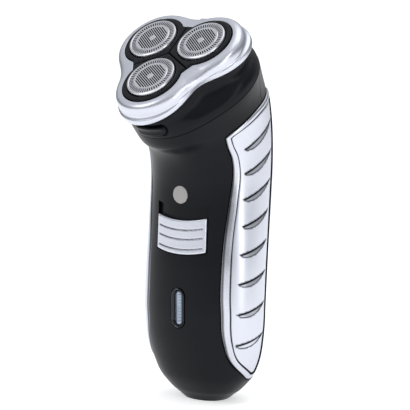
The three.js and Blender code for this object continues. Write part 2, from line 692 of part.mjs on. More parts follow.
function hairChamber(head) {
  const outer = lobedSolid(CHAMBER_ROWS);
  const clip = (low, high) => boxBetween(-40, 40, -40, 40, low, high);
  const inner = lobedSolid(
    [[-22, 30.6, 27.2, 2.6], ...CHAMBER_ROWS.slice(1), [-8, 30.2, 20.6, 0, WAVE]],
    -1.6,
  );
  const hollow = inner.subtract(clip(FLOOR.low, FLOOR.high));
  const { level, width, height, back } = RELEASE;
  const pocket = boxBetween(-8.9, 8.9, -29.4, -22.4, level - 3.1, level + 3.1).intersect(outer);
  const window = prismAlongY(pill(width + 0.8, height + 0.8, 0, level), -40, back + 1.9);
  const spindleHoles = PLACES.map(({ turn }) =>
    bar(2.5, -19, -15, CUTTER_ORBIT * Math.sin(turn), -CUTTER_ORBIT * Math.cos(turn), 16),
  );
  const lugs = knuckles([[-4.4, -2.2], [2.2, 4.4]], HINGE_PIN.z - 1.6, HINGE_PIN.z);
  const lugSlot = boxBetween(-2.2, 2.2, 17, 23, HINGE_PIN.z + 0.7, 0);
  const chamber = cut(join(cut(outer, hollow), pocket), window, lugSlot, ...spindleHoles);
  piece(head, "hair_chamber", chamber.add(lugs), BLACK);

  const button = prismAlongY(pill(width, height, 0, level), RELEASE.front, back);
  const crown = barAlongX(60, -12, 12, RELEASE.front + 60, level, 96).intersect(button);
  piece(head, "release_button", crown, BLACK);
  const pin = barAlongX(HINGE_PIN.radius, -4.2, 4.2, HINGE_PIN.y, HINGE_PIN.z, 12);
  piece(head, "head_hinge_pin", pin, STEEL);
}

/** The silver frame: from the holders' opening out over a rounded rim and down. */
function headFrame(head) {
  const rim = [
    [0, -1.6], [0.3, -1.7], [0.6, -2.0], [0.85, -2.6], [0.97, -3.4], [1, -4.4], [1, -6.2],
  ];
  const { lobe, shoulder, waist, lip, wall } = FRAME;
  const blend = (share, z) =>
    headRing((angle) => {
      const outside = lobedRadius(lobe, shoulder, angle);
      return THREE.MathUtils.lerp(holderRadius(angle, 0.35), outside, share);
    }, z);
  const outer = loft([
    ...[[-9.5, 0.1, WAVE], [-9, 0.5, WAVE], [-7.1, 0.5, 0.5 * WAVE]].map(([z, grow, rise]) =>
      waved(headRing((angle) => lobedRadius(lip, waist, angle) + grow, z), rise),
    ),
    ...rim.toReversed().map(([share, z]) => blend(share, z)),
  ]);
  const lower = lobedSolid([[-10.5, lobe, waist, 0], [-3.6, lobe, waist, 0]], -wall);
  const mouth = loft([-4, 0].map((z) => headRing((a) => holderRadius(a, 0.35), z)));
  const lug = knuckles([[-1.9, 1.9]], HINGE_PIN.z + 1, HINGE_PIN.z + 4.2);
  piece(head, "head_frame", cut(outer, lower, mouth).add(lug), SILVER);
}

function retainingPlate(head) {
  const plate = lobedSolid([[-8.6, 28.5, 18.3], [-7.4, 28.5, 18.3]]);
  const holes = PLACES.map(({ turn }) =>
    bar(8, -9, -7, CUTTER_ORBIT * Math.sin(turn), -CUTTER_ORBIT * Math.cos(turn), 18),
  );
  piece(head, "retaining_plate", cut(plate, ...holes, bar(2.1, -9, -7)), GREY_PLASTIC);
  const knob = turned([
    [0, -12], [4.6, -12], [5, -11.6], [5, -9], [1.8, -9], [1.8, -7.1], [0, -7.1],
  ]);
  const grip = boxBetween(-4, 4, -0.7, 0.7, -13.4, -12);
  piece(head, "lock_wheel", knob.add(grip), BLACK);
}

/** A third of the round plate, with its hole, between two straight seams. */
function holderShape() {
  const seam = 0.2;
  const points = [[0, -seam / Math.sin(Math.PI / 3)]];
  const steps = HEAD_SIDES / 3;
  for (let i = 0; i <= steps; i++) {
    const angle = (Math.PI / 3) * (-1 + (2 * i) / steps);
    const radius = holderRadius(angle);
    const inwards = i === 0 ? seam : i === steps ? -seam : 0;
    const x = radius * Math.sin(angle) + inwards * Math.cos(angle);
    points.push([x, -radius * Math.cos(angle) + inwards * Math.sin(angle)]);
  }
  const shape = shapeOf(points);
  shape.holes.push(new THREE.Path().absarc(0, -CUTTER_ORBIT, CUTTER_RADIUS + 0.35, 0, 2 * Math.PI, true));
  return shape;
}

const OUTER_CUTTER = [
  [0, 0], [9.55, 0], [10.25, -0.7], [10.25, -4.5], [11.2, -4.5], [11.2, -5.1], [9.65, -5.1],
  [9.65, -0.8], [0, -0.8],
];

function innerCutter() {
  const disc = turned([
    [2.1, -7.2], [3, -7.2], [3, -4.2], [9.3, -4.2], [9.3, -3.2], [0, -3.2], [0, -4.2],
    [2.1, -4.2],
  ]);
  const blades = Array.from({ length: 12 }, (_, i) =>
    box(0.7, 2.2, 2.3, 0, 8.1, -2.25).rotate([0, 0, i * 30]),
  );
  return join(disc, ...blades);
}

function cutters(head) {
  const holder = prismAlongZ(holderShape(), -4.2, -1, 12).translate([0, CUTTER_ORBIT, 0]);
  for (const place of PLACES) {
    const spot = atCutter(head, place);
    piece(spot, `head_holder_${place.name}`, holder, BLACK);
    piece(spot, `outer_cutter_${place.name}`, turned(OUTER_CUTTER), NICKEL);
    piece(spot, `inner_cutter_${place.name}`, innerCutter(), STEEL);
  }
}

// ---- Trimmer at the back --------------------------------------------------------------

/** A row of pointed teeth along the top of a plate, drawn in x and z. */
function combShape(halfWidth, low, high, toothCount, toothDepth) {
  const pitch = (2 * halfWidth) / toothCount;
  const points = [[halfWidth, low], [-halfWidth, low]];
  for (let i = 0; i < toothCount; i++) {
    const x = -halfWidth + i * pitch;
    const base = high - toothDepth;
    points.push([x, base], [x + 0.25 * pitch, high], [x + 0.5 * pitch, high]);
    points.push([x + 0.75 * pitch, base]);
  }
  points.push([halfWidth, high - toothDepth]);
  return shapeOf(points);
}

function trimmer(group) {
  const { halfWidth, pinY, pinZ } = TRIMMER;
  const lid = prismAlongY(trimmerOutline(0), 0, 40).intersect(skin(-1.8, 0));
  const rolls = [[-13, -6], [6, 13]].map(([x0, x1]) => barAlongX(1.35, x0, x1, pinY, pinZ));
  const bore = barAlongX(1.0, -halfWidth - 1, halfWidth + 1, pinY, pinZ, 12);
  piece(group, "trimmer_arm", cut(join(lid, ...rolls), bore), BLACK);
  piece(group, "trimmer_pin", barAlongX(0.7, -14.6, 14.6, pinY, pinZ, 12), STEEL);
}

function trimmerBlades(group) {
  const place = new THREE.Group();
  place.position.set(0, 16.4, 121.2);
  place.rotation.x = THREE.MathUtils.degToRad(24);
  group.add(place);
  const comb = prismAlongY(combShape(12.6, 2, 11.4, 16, 1.8), -0.8, 0);
  piece(place, "trimmer_comb", comb, STEEL);
  const blade = prismAlongY(combShape(11.2, 4, 11.2, 14, 1.6), -1.7, -1.1);
  piece(place, "trimmer_blade", blade, STEEL);
}

function trimmerSlider(group) {
  const cap = prismAlongY(sliderOutline(0), 5, 40).intersect(skin(-0.8, 0.9));
  piece(group, "trimmer_slider", cap, BLACK);
}

// ---- Assembly -------------------------------------------------------------------------

const shaver = new THREE.Group();
const handle = new THREE.Group();
handle.position.y = AXIS_SHIFT;
shaver.add(handle);

const head = new THREE.Group();
head.position.copy(HEAD_CENTRE);
head.rotation.x = HEAD_TILT;
handle.add(head);

sidePanels(handle);
switchSlider(handle);
chargeLamp(handle);
badge(handle);
powerInlet(handle);
powerPack(handle);
housingScrews(handle);
trimmer(handle);
trimmerBlades(handle);
trimmerSlider(handle);
motor(head);
driveTrain(head);
hairChamber(head);
headFrame(head);
retainingPlate(head);
cutters(head);

export default shaver;
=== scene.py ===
import json
import math

import bpy
import numpy as np
from mathutils import Matrix, Vector
from mathutils.bvhtree import BVHTree
from mathutils.geometry import delaunay_2d_cdt


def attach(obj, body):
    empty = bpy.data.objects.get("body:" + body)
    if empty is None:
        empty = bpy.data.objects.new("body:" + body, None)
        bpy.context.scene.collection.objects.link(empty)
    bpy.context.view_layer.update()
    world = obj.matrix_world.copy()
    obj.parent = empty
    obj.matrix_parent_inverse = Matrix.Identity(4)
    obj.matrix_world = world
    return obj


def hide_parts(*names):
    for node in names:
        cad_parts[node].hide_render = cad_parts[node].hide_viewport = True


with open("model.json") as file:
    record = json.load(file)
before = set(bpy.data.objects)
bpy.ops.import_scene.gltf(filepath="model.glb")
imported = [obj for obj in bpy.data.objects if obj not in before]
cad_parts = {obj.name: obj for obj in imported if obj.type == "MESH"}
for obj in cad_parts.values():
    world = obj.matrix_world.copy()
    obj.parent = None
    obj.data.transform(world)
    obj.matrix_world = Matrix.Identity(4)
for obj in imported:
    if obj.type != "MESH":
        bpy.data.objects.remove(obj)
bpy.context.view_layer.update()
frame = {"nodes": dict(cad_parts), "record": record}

# ---- Dimensions, in millimetres ---------------------------------------------------------
# The handle's own frame stands AXIS_SHIFT behind the origin. The head's own frame has y up
# its back and z normal to the cutters, with z = 0 in the plane of the cutter tops.

MM = 0.001
AXIS_SHIFT = 12.3
HEAD_TILT = math.radians(40)
HEAD_CENTRE = (0, -26.4, 143.9)
CUTTER_ORBIT = 14.1
CUTTER_RADIUS = 10.25
HOLDER_ARC = 12.5
HOLDER_WAIST = 15.3
ARC_END = 0.865  # angle from a lobe's middle where the arc meets the flat
FRAME = {"lobe": 30.8, "shoulder": 22.4, "waist": 20.6, "lip": 31.7, "wall": 1.4}
WAVE = 1.2  # how much higher the joint under the frame is at the waists
OVAL_POWER = 2.2
GAP = 0.3
WALL = 2.4
RECESS_DEPTH = 1.0
TRIM_WIDTH = 2.2
TRIM_STEP = 0.7
PANEL_STEP = 0.4
GROOVE_COUNT = 8
SEAM = (30.6, 27.2, 2.6, 29.6)  # lobe, notch, front cut, half width
SWITCH = {"half": 12.3, "bottom": 63.5, "top": 77.3, "sag": 1.5, "travel": 4.6}
STEM = {"half": 1.5, "bottom": 67.2, "top": 70.6, "room": 0.4}  # under the switch's cap
LAMP = {"z": 40, "width": 6.4, "height": 16, "rim": 1.0, "front": -20.6, "back": -17.6}
BADGE = {"z": 86, "radius": 3.6, "thickness": 0.6, "seat": -18}
INLET = {"width": 10.4, "height": 6.2, "depth": 8}
RELEASE = {"level": -16.5, "width": 14.4, "height": 4.2, "front": -29.2, "back": -25.6}
HINGE_PIN = {"y": 25.6, "z": -10.4, "radius": 0.9, "knuckle": 1.6}
TRIMMER = {
    "half": 15, "bottom": 101.1, "top": 133.2, "depth": 6.8, "pin_y": 21.5, "pin_z": 102.2,
}
SLIDER = {"half": 6, "bottom": 87.6, "height": 6, "travel": 4.3}
SCREWS = ((21, 14.5), (76, 20))  # height, and the y of the skin there
SIDES = ((5, 45), (-45, -5))  # spans of x that hold the right and the left flank
PLACES = (("front", 0), ("right", 120), ("left", 240))

# Sections of the handle from the bottom up: front y and z, back y and z, half width, and
# how much of the head's three-lobed outline is blended into the oval.
HANDLE_SECTIONS = [
    [-8.8, 0, 6.6, 0, 9.5, 0],
    [-10.8, 2.4, 7.8, 2.4, 12.8, 0],
    [-13.0, 4.9, 9.7, 4.9, 16.1, 0],
    [-16.1, 9.8, 12.8, 9.8, 20.6, 0],
    [-17.9, 15, 14.4, 15, 23.1, 0],
    [-19.0, 20, 14.8, 20, 24.7, 0],
    [-19.9, 26, 14.7, 26, 25.9, 0],
    [-20.2, 33, 14.5, 33, 26.7, 0],
    [-20.4, 41, 14.4, 41, 27.0, 0],
    [-19.9, 55, 16.3, 55, 26.8, 0],
    [-19.1, 68, 18.3, 68, 26.3, 0],
    [-18.6, 85, 21.8, 85, 25.7, 0],
    [-19.5, 92.5, 22.8, 99, 25.7, 0.15],
    [-22, 98.5, 22.3, 113, 25.8, 0.35],
    [-26, 103, 19.4, 126.5, 26.1, 0.6],
    [-31.2, 105.7, 14.2, 137.1, 27.2, 0.85],
    [-34.35, 109.82, 7.9, 145.3, 29.6, 1],
]
PARTING_LINE = [
    [0, -5], [0, 40], [-1, 60], [1, 90], [1.5, 110], [0.5, 122], [-4, 135], [-12, 152],
]
TRIM_OUTLINE = [
    [-15.9, 109.9], [-15.1, 111.1], [-12.4, 113.5], [-7.6, 117.4], [-2.9, 120.8],
    [2.9, 123.9], [8, 126.6], [10.9, 128.2], [11.9, 122], [11.8, 113], [11.3, 100],
    [10, 85], [8, 68], [6.2, 55], [5.2, 41], [4.6, 28], [4.1, 18], [2.4, 11.6],
    [-1.4, 10.4], [-6.4, 13.4], [-12, 19], [-14.9, 27], [-16, 41], [-15.4, 55],
    [-13.9, 70], [-11.9, 85], [-11, 95], [-12, 101.5], [-13.9, 105.5], [-15.3, 108.5],
]
CHAMBER_ROWS = [
    [-20.7, 30.6, 27.2, 2.6, 0], [-18, 30.6, 27, 2.6, 0], [-16, 30.2, 25.3, 2.2, 0],
    [-14, 29, 22.4, 1.1, 0], [-11.9, 28.9, 20.9, 0.6, 0.4 * WAVE],
    [-9.8, 30.2, 20.6, 0, WAVE],
]

HANDLE = Matrix.Translation((0, AXIS_SHIFT * MM, 0))
HEAD = (
    HANDLE
    @ Matrix.Translation(Vector(HEAD_CENTRE) * MM)
    @ Matrix.Rotation(HEAD_TILT, 4, "X")
)


def cutter_place(turn):
    """The frame of one cutter: its axis is z and its own -y points out of the head."""
    return (
        HEAD
        @ Matrix.Rotation(math.radians(turn), 4, "Z")
        @ Matrix.Translation((0, -CUTTER_ORBIT * MM, 0))
    )


# ---- Closed bodies ----------------------------------------------------------------------


def placed(name, data):
    made = bpy.data.objects.new(name, data)
    bpy.context.scene.collection.objects.link(made)
    return made


def solid(points, faces):
    """A body in millimetres, used as a piece's beginnings or as a cutting tool."""
    mesh = bpy.data.meshes.new("body")
    mesh.from_pydata(np.asarray(points, float).tolist(), [], faces)
    mesh.update()
    return placed("body", mesh)


def combine(body, operation, tools):
    for tool in tools:
        modifier = body.modifiers.new("cut", "BOOLEAN")
        modifier.solver = "MANIFOLD"
        modifier.operation = operation
        modifier.object = tool
        graph = bpy.context.evaluated_depsgraph_get()
        mesh = bpy.data.meshes.new_from_object(body.evaluated_get(graph))
        body.modifiers.clear()
        body.data = mesh
        bpy.data.objects.remove(tool)
    return body


def cut(body, *tools):
    return combine(body, "DIFFERENCE", tools)


def meet(body, *tools):
    return combine(body, "INTERSECT", tools)


def join(body, *tools):
    return combine(body, "UNION", tools)


def quads(rows, sides, around=False):
    """Faces between neighbouring rings, and from the last to the first if they go around."""
    faces = []
    for row in range(rows if around else rows - 1):
        low, high = row * sides, (row + 1) % rows * sides
        for side in range(sides):
            after = (side + 1) % sides
            faces.append((low + side, low + after, high + after, high + side))
    return faces


def loft(rings):
    """A skin over a row of rings with the same number of points, its two ends capped."""
    rings = np.asarray(rings, float)
    rows, sides = rings.shape[:2]
    points = np.vstack([rings.reshape(-1, 3), rings[0].mean(0), rings[-1].mean(0)])
    bottom, top = rows * sides, sides * (rows - 1)
    faces = quads(rows, sides)
    for side in range(sides):
        after = (side + 1) % sides
        faces += [(bottom, after, side), (bottom + 1, top + side, top + after)]
    return solid(points, faces)


def tube(rings):
    """A closed skin whose rings go round a hollow section and meet the first again."""
    rings = np.asarray(rings, float)
    return solid(rings.reshape(-1, 3), quads(*rings.shape[:2], around=True))


def turned(profile, sides=96):
    """A body of revolution about z from a closed profile of radius and height."""
    angles = np.arange(sides) * 2 * math.pi / sides
    points, rows = [], []
    for radius, z in profile:
        rows.append((len(points), radius > 0))
        if radius > 0:
            points += [(radius * math.cos(a), radius * math.sin(a), z) for a in angles]
        else:
            points.append((0, 0, z))
    faces = []
    for (low, low_ring), (high, high_ring) in zip(rows, rows[1:] + rows[:1]):
        for side in range(sides):
            after = (side + 1) % sides
            if low_ring and high_ring:
                faces.append((low + side, low + after, high + after, high + side))
            elif low_ring:
                faces.append((low + side, low + after, high))
            elif high_ring:
                faces.append((low, high + after, high + side))
    return solid(points, faces)


BOX_FACES = [(3, 2, 1, 0), (4, 5, 6, 7)]
BOX_FACES += [(i, (i + 1) % 4, (i + 1) % 4 + 4, i + 4) for i in range(4)]


def box(x0, x1, y0, y1, z0, z1):
    points = [(x, y, z) for z in (z0, z1) for x, y in ((x0, y0), (x1, y0), (x1, y1), (x0, y1))]
    return solid(points, BOX_FACES)


def prism(outline, low, high, axes):
    """An outline drawn in two axes, given as letters, and pushed along the third."""
    across = "xyz".index(({"x", "y", "z"} - set(axes)).pop())
    first, second = ("xyz".index(letter) for letter in axes)
    outline = np.asarray(outline, float)
    count = len(outline)
    points = np.zeros((2 * count, 3))
    points[:, first] = np.tile(outline[:, 0], 2)
    points[:, second] = np.tile(outline[:, 1], 2)
    points[:count, across] = low
    points[count:, across] = high
    faces = [tuple(range(count)), tuple(reversed(range(count, 2 * count)))]
    faces += [(i, i + count, (i + 1) % count + count, (i + 1) % count) for i in range(count)]
    even = (second - first) % 3 == 1
    if (signed_area(outline) > 0) == even:
        faces = [face[::-1] for face in faces]
    return solid(points, faces)


def rod(axis, radius, low, high, at, sides=32):
    """A round bar along x, y or z through a point given in the other two axes."""
    others = "xyz".replace(axis, "")
    return prism(circle(radius, at, sides), low, high, others)


# ---- Outlines ---------------------------------------------------------------------------


def signed_area(loop):
    x, y = np.asarray(loop, float).T
    return 0.5 * np.sum(x * np.roll(y, -1) - np.roll(x, -1) * y)


def circle(radius, at=(0, 0), sides=64):
    angles = np.arange(sides) * 2 * math.pi / sides
    return np.stack([at[0] + radius * np.cos(angles), at[1] + radius * np.sin(angles)], 1)


def pill(width, height, at=(0, 0), sides=48):
    """Two half circles joined by straight lines."""
    radius = min(width, height) / 2
    loop = circle(radius, (0, 0), sides)
    reach = np.array([width / 2 - radius, height / 2 - radius])
    long_axis = 0 if width > height else 1
    shifted = []
    for x, y in loop:
        side = x if long_axis == 0 else y
        shifted.append((x + reach[0] * np.sign(side), y + reach[1] * np.sign(side)))
    return resampled(np.array(shifted) + np.array(at), 0.3)


def rounded(corners, radius, steps=5):
    """A polygon with its corners rounded; radius is one number or one for each corner."""
    corners = np.asarray(corners, float)
    radii = np.broadcast_to(radius, len(corners))
    loop = []
    for i, corner in enumerate(corners):
        to_last, to_next = corners[i - 1] - corner, corners[(i + 1) % len(corners)] - corner
        reach = min(radii[i], *(0.49 * np.linalg.norm(v) for v in (to_last, to_next)))
        if reach < 1e-6:
            loop.append(corner)
            continue
        a = corner + to_last / np.linalg.norm(to_last) * reach
        b = corner + to_next / np.linalg.norm(to_next) * reach
        for t in np.linspace(0, 1, steps + 1):
            loop.append((1 - t) ** 2 * a + 2 * t * (1 - t) * corner + t * t * b)
    return np.array(loop)


def resampled(loop, spacing):
    """The same closed line, with points no further apart than a spacing."""
    points = []
    for a, b in zip(loop, np.roll(loop, -1, axis=0)):
        steps = max(1, math.ceil(np.linalg.norm(b - a) / spacing))
        points += [a + (b - a) * k / steps for k in range(steps)]
    return np.array(points)


def smooth_loop(knots, spacing):
    """A closed centripetal Catmull-Rom curve through a few points."""
    knots = np.asarray(knots, float)
    count = len(knots)
    points = []
    for i in range(count):
        p = [knots[(i + k) % count] for k in (-1, 0, 1, 2)]
        t = [0.0]
        for a, b in zip(p, p[1:]):
            t.append(t[-1] + max(np.linalg.norm(b - a), 1e-6) ** 0.5)
        steps = max(2, int(np.linalg.norm(p[2] - p[1]) / spacing))
        for u in np.linspace(t[1], t[2], steps, endpoint=False):
            level = p
            for reach, first in ((1, 0), (2, 0), (1, 1)):
                pairs = zip(level, level[1:], t[first:], t[first + reach:])
                level = [((d - u) * a + (u - c) * b) / (d - c) for a, b, c, d in pairs]
            points.append(level[0])
    return np.array(points)


def distance(points, loop):
    """Distance of each point to a closed line."""
    points = np.asarray(points, float)
    a = np.asarray(loop, float)
    d = np.roll(a, -1, axis=0) - a
    lengths = np.maximum((d**2).sum(1), 1e-12)
    best = np.full(len(points), np.inf)
    for start in range(0, len(points), 2000):
        some = points[start : start + 2000, None, :]
        t = np.clip(((some - a) * d).sum(2) / lengths, 0, 1)
        gap = ((some - a - t[..., None] * d) ** 2).sum(2)
        best[start : start + 2000] = np.sqrt(gap.min(1))
    return best


def inside(points, loop):
    x, y = np.asarray(points, float).T
    loop = np.asarray(loop, float)
    result = np.zeros(len(x), bool)
    for (ax, ay), (bx, by) in zip(loop, np.roll(loop, -1, axis=0)):
        if ay == by:
            continue
        crosses = (ay > y) != (by > y)
        result ^= crosses & (x < (bx - ax) * (y - ay) / (by - ay) + ax)
    return result


def inset(loop, amount):
    """A closed line moved inwards; the amount is one number or a function of the points."""
    loop = np.asarray(loop, float)
    along = np.roll(loop, -1, axis=0) - np.roll(loop, 1, axis=0)
    along /= np.linalg.norm(along, axis=1)[:, None]
    inwards = np.stack([-along[:, 1], along[:, 0]], 1) * np.sign(signed_area(loop))
    reach = amount(loop) if callable(amount) else np.full(len(loop), float(amount))
    moved = loop + inwards * reach[:, None]
    clear = distance(moved, loop) > np.abs(reach) * 0.93
    return moved[clear]


# ---- Curves of the handle and the head --------------------------------------------------


def between(rows, t):
    """Rows between a table's rows, at t counted in rows, on a smooth curve through them."""
    rows = np.asarray(rows, float)
    t = np.atleast_1d(np.asarray(t, float))
    last = len(rows) - 1
    i = np.clip(np.floor(t).astype(int), 0, last - 1)
    u = (t - i)[:, None]
    p, q, r, s = (rows[np.clip(i + k, 0, last)] for k in (-1, 0, 1, 2))
    return q + 0.5 * u * (r - p + u * (2 * p - 5 * q + 4 * r - s + u * (3 * (q - r) + s - p)))


def lobed_radius(lobe, notch, angle, front_cut=0.0):
    swing = (lobe - notch) / 2
    flattening = -0.088 * swing
    mean = (lobe + notch) / 2 - flattening
    radius = mean + swing * np.cos(3 * angle) + flattening * np.cos(6 * angle)
    return radius - front_cut * np.maximum(0, np.cos(angle)) ** 2


def holder_radius(angle, margin=0.0):
    """Radius of the holders' common edge, grown by a margin."""
    third = 2 * math.pi / 3
    from_lobe = np.abs(angle - third * np.round(angle / third))
    reach = CUTTER_ORBIT * np.sin(from_lobe)
    arc = HOLDER_ARC + margin
    round_part = CUTTER_ORBIT * np.cos(from_lobe) + np.sqrt(np.maximum(0, arc**2 - reach**2))
    flat = (HOLDER_WAIST + margin) / np.cos(third / 2 - from_lobe)
    return np.where(from_lobe < ARC_END, round_part, flat)


def head_ring(radius, angle, z):
    return np.stack([radius * np.sin(angle), -radius * np.cos(angle), np.full_like(angle, z)], 1)


def signed_power(value, power):
    return np.sign(value) * np.abs(value) ** power


def handle_rings(rows, offset, sides):
    """Sections of the handle at rows of the table, the skin moved outwards by an offset."""
    angle = np.arange(sides) * 2 * math.pi / sides
    lobe, notch, front_cut, seam_half = SEAM
    radius = lobed_radius(lobe, notch, angle, front_cut)
    lobed_x = radius * np.sin(angle) / seam_half
    front = lobe - front_cut
    lobed_y = (-2 * radius * np.cos(angle) + front - notch) / (front + notch)
    oval_x = signed_power(np.sin(angle), 2 / OVAL_POWER)
    oval_y = -signed_power(np.cos(angle), 2 / OVAL_POWER)
    rings = []
    for front_y, front_z, back_y, back_z, half_width, lobed in between(HANDLE_SECTIONS, rows):
        middle = np.array([0, (front_y + back_y) / 2, (front_z + back_z) / 2])
        back = np.array([0, back_y - front_y, back_z - front_z]) / 2
        back *= 1 + offset / np.linalg.norm(back)
        x = (half_width + offset) * (oval_x + (lobed_x - oval_x) * lobed)
        along = oval_y + (lobed_y - oval_y) * lobed
        ring = middle + along[:, None] * back
        ring[:, 0] = x
        rings.append(ring)
    return np.array(rings)


def handle_form(offset=0.0, first=0.0, rise=0.0, per_row=8, sides=144):
    """The handle's outer form moved by an offset, from a given section, raised at its top."""
    last = len(HANDLE_SECTIONS) - 1
    rows = np.linspace(first, last, round((last - first) * per_row) + 1)
    rings = handle_rings(rows, offset, sides)
    if rise:
        lift = np.array([0, -math.sin(HEAD_TILT), math.cos(HEAD_TILT)]) * rise
        rings = np.concatenate([rings, rings[-1:] + lift])
    return loft(rings)


def skin_tree(offset):
    form = handle_form(offset, 0, 6, per_row=10, sides=240)
    mesh = form.data
    points = [v.co.copy() for v in mesh.vertices]
    tree = BVHTree.FromPolygons(points, [tuple(p.vertices) for p in mesh.polygons])
    bpy.data.objects.remove(form)
    return tree


SKINS = (skin_tree(0.0), skin_tree(1.0))


def on_skin(axis, sign):
    """Puts flat drawings on the handle's skin, seen along an axis from its + or - side."""
    across = "xyz".index(axis)
    others = [i for i in range(3) if i != across]
    direction = Vector([0, 0, 0])
    direction[across] = -sign

    def place(points, height):
        levels = []
        for tree in SKINS:
            found = np.empty(len(points))
            for i, point in enumerate(points):
                origin = Vector([0, 0, 0])
                origin[across] = 90 * sign
                origin[others[0]], origin[others[1]] = point
                hit = tree.ray_cast(origin, direction)[0]
                found[i] = hit[across] if hit else np.nan
            levels.append(found)
        level = levels[0] + height * (levels[1] - levels[0])
        if np.isnan(level).any():
            good = ~np.isnan(level)
            for i in np.flatnonzero(~good):
                near = np.argmin(((points[good] - points[i]) ** 2).sum(1))
                level[i] = level[good][near]
        result = np.empty((len(points), 3))
        result[:, across] = level
        result[:, others] = points
        return result

    return place


def flat(points, height):
    """Puts a drawing in x and y at heights along z."""
    return np.column_stack([points, height])


def upright(points, height):
    """Puts a drawing in x and z at heights towards the front, which is -y."""
    return np.column_stack([points[:, 0], -height, points[:, 1]])


# ---- Relief over an outline -------------------------------------------------------------


def filled(loops, creases, spacing):
    """Triangles over the region inside the first loop and outside the others."""
    lines = [np.asarray(line, float) for line in [*loops, *creases]]
    edges, points, start = [], [], 0
    for line in lines:
        count = len(line)
        edges += [(start + i, start + (i + 1) % count) for i in range(count)]
        points.append(line)
        start += count
    low, high = loops[0].min(0), loops[0].max(0)
    rows = np.arange(low[1], high[1], spacing * 0.866)
    columns = np.arange(low[0], high[0], spacing)
    grid = np.array(
        [(x + spacing / 2 * (j % 2), y) for j, y in enumerate(rows) for x in columns]
    )
    if len(grid):
        grid = grid[inside(grid, loops[0])]
        for line in lines:
            grid = grid[distance(grid, line) > spacing * 0.5]
        points.append(grid)
    points = np.vstack(points)
    flat_points, _, faces, *_ = delaunay_2d_cdt([Vector(p) for p in points], edges, [], 0, 1e-5)
    flat_points = np.array([tuple(p) for p in flat_points])
    faces = np.array(faces)
    middles = flat_points[faces].mean(1)
    keep = inside(middles, loops[0])
    for hole in loops[1:]:
        keep &= ~inside(middles, hole)
    faces = faces[keep]
    a, b, c = (flat_points[faces[:, i]] for i in range(3))
    area = (b - a)[:, 0] * (c - a)[:, 1] - (b - a)[:, 1] * (c - a)[:, 0]
    faces = faces[np.abs(area) > 1e-9]
    area = area[np.abs(area) > 1e-9]
    faces[area < 0] = faces[area < 0][:, ::-1]
    return flat_points, faces


def relief(loops, height, bottom, place, spacing, creases=(), mirror=False, shade=None):
    """A closed plate over a region: its top at height(points), its underside at bottom.
    shade(points) from 0 to 1 is painted shade, which darkens the colour where the plate's hollows
    would lie in shadow."""
    loops = [np.asarray(loop, float) for loop in loops]
    points, faces = filled(loops, creases, spacing)
    used, faces = np.unique(faces, return_inverse=True)
    faces = faces.reshape(-1, 3)
    points = points[used]
    count = len(points)
    top = place(points, height(points))
    under = place(points, np.full(count, float(bottom)))
    edges = {(a, b): True for face in faces for a, b in zip(face, np.roll(face, -1))}
    rim = [(a, b) for a, b in edges if (b, a) not in edges]
    everything = [tuple(f) for f in faces] + [tuple(f[::-1] + count) for f in faces]
    everything += [(b, a, a + count, b + count) for a, b in rim]
    outwards = place(points[:1], np.array([1.0])) - place(points[:1], np.array([0.0]))
    a, b, c = (top[faces[:, i]] for i in range(3))
    facing = np.cross(b - a, c - a).sum(0) @ outwards[0]
    if (facing < 0) != mirror:
        everything = [face[::-1] for face in everything]
    both = np.vstack([top, under])
    if mirror:
        both[:, 0] *= -1
    body = solid(both, everything)
    if shade:
        # Painted shade values from shade(points), set on the top's points only.
        dark = np.concatenate([np.clip(shade(points), 0, 1), np.zeros(count)])
        attribute = body.data.attributes.new("painted_shade", "FLOAT", "POINT")
        attribute.data.foreach_set("value", dark.astype(np.float32))
    return body


def ridges(x, gaps, half, fade, depth, reach):
    """Depth of a row of notches, given each point's gaps in z to their middle lines."""
    ends = np.clip((half - np.abs(x)) / fade, 0, 1)
    return sum(depth * ends * np.clip(1 - np.abs(gap) / reach, 0, 1) ** 0.7 for gap in gaps)


def round_edge(reach, radius):
    """How far a rounded edge lies below the top, at a distance from the edge."""
    d = np.clip(reach, 0, radius)
    return radius - np.sqrt(np.maximum(0, radius**2 - (radius - d) ** 2))


def edge_lines(loop, radius):
    return [inset(loop, radius * share) for share in (0.08, 0.3, 0.62, 1.0)]


# ---- Materials --------------------------------------------------------------------------


# Painted shade: the dark colour mixed into a surface where its painted shade attribute is set.
PAINTED_SHADE_COLOUR = (0.012, 0.013, 0.017, 1)


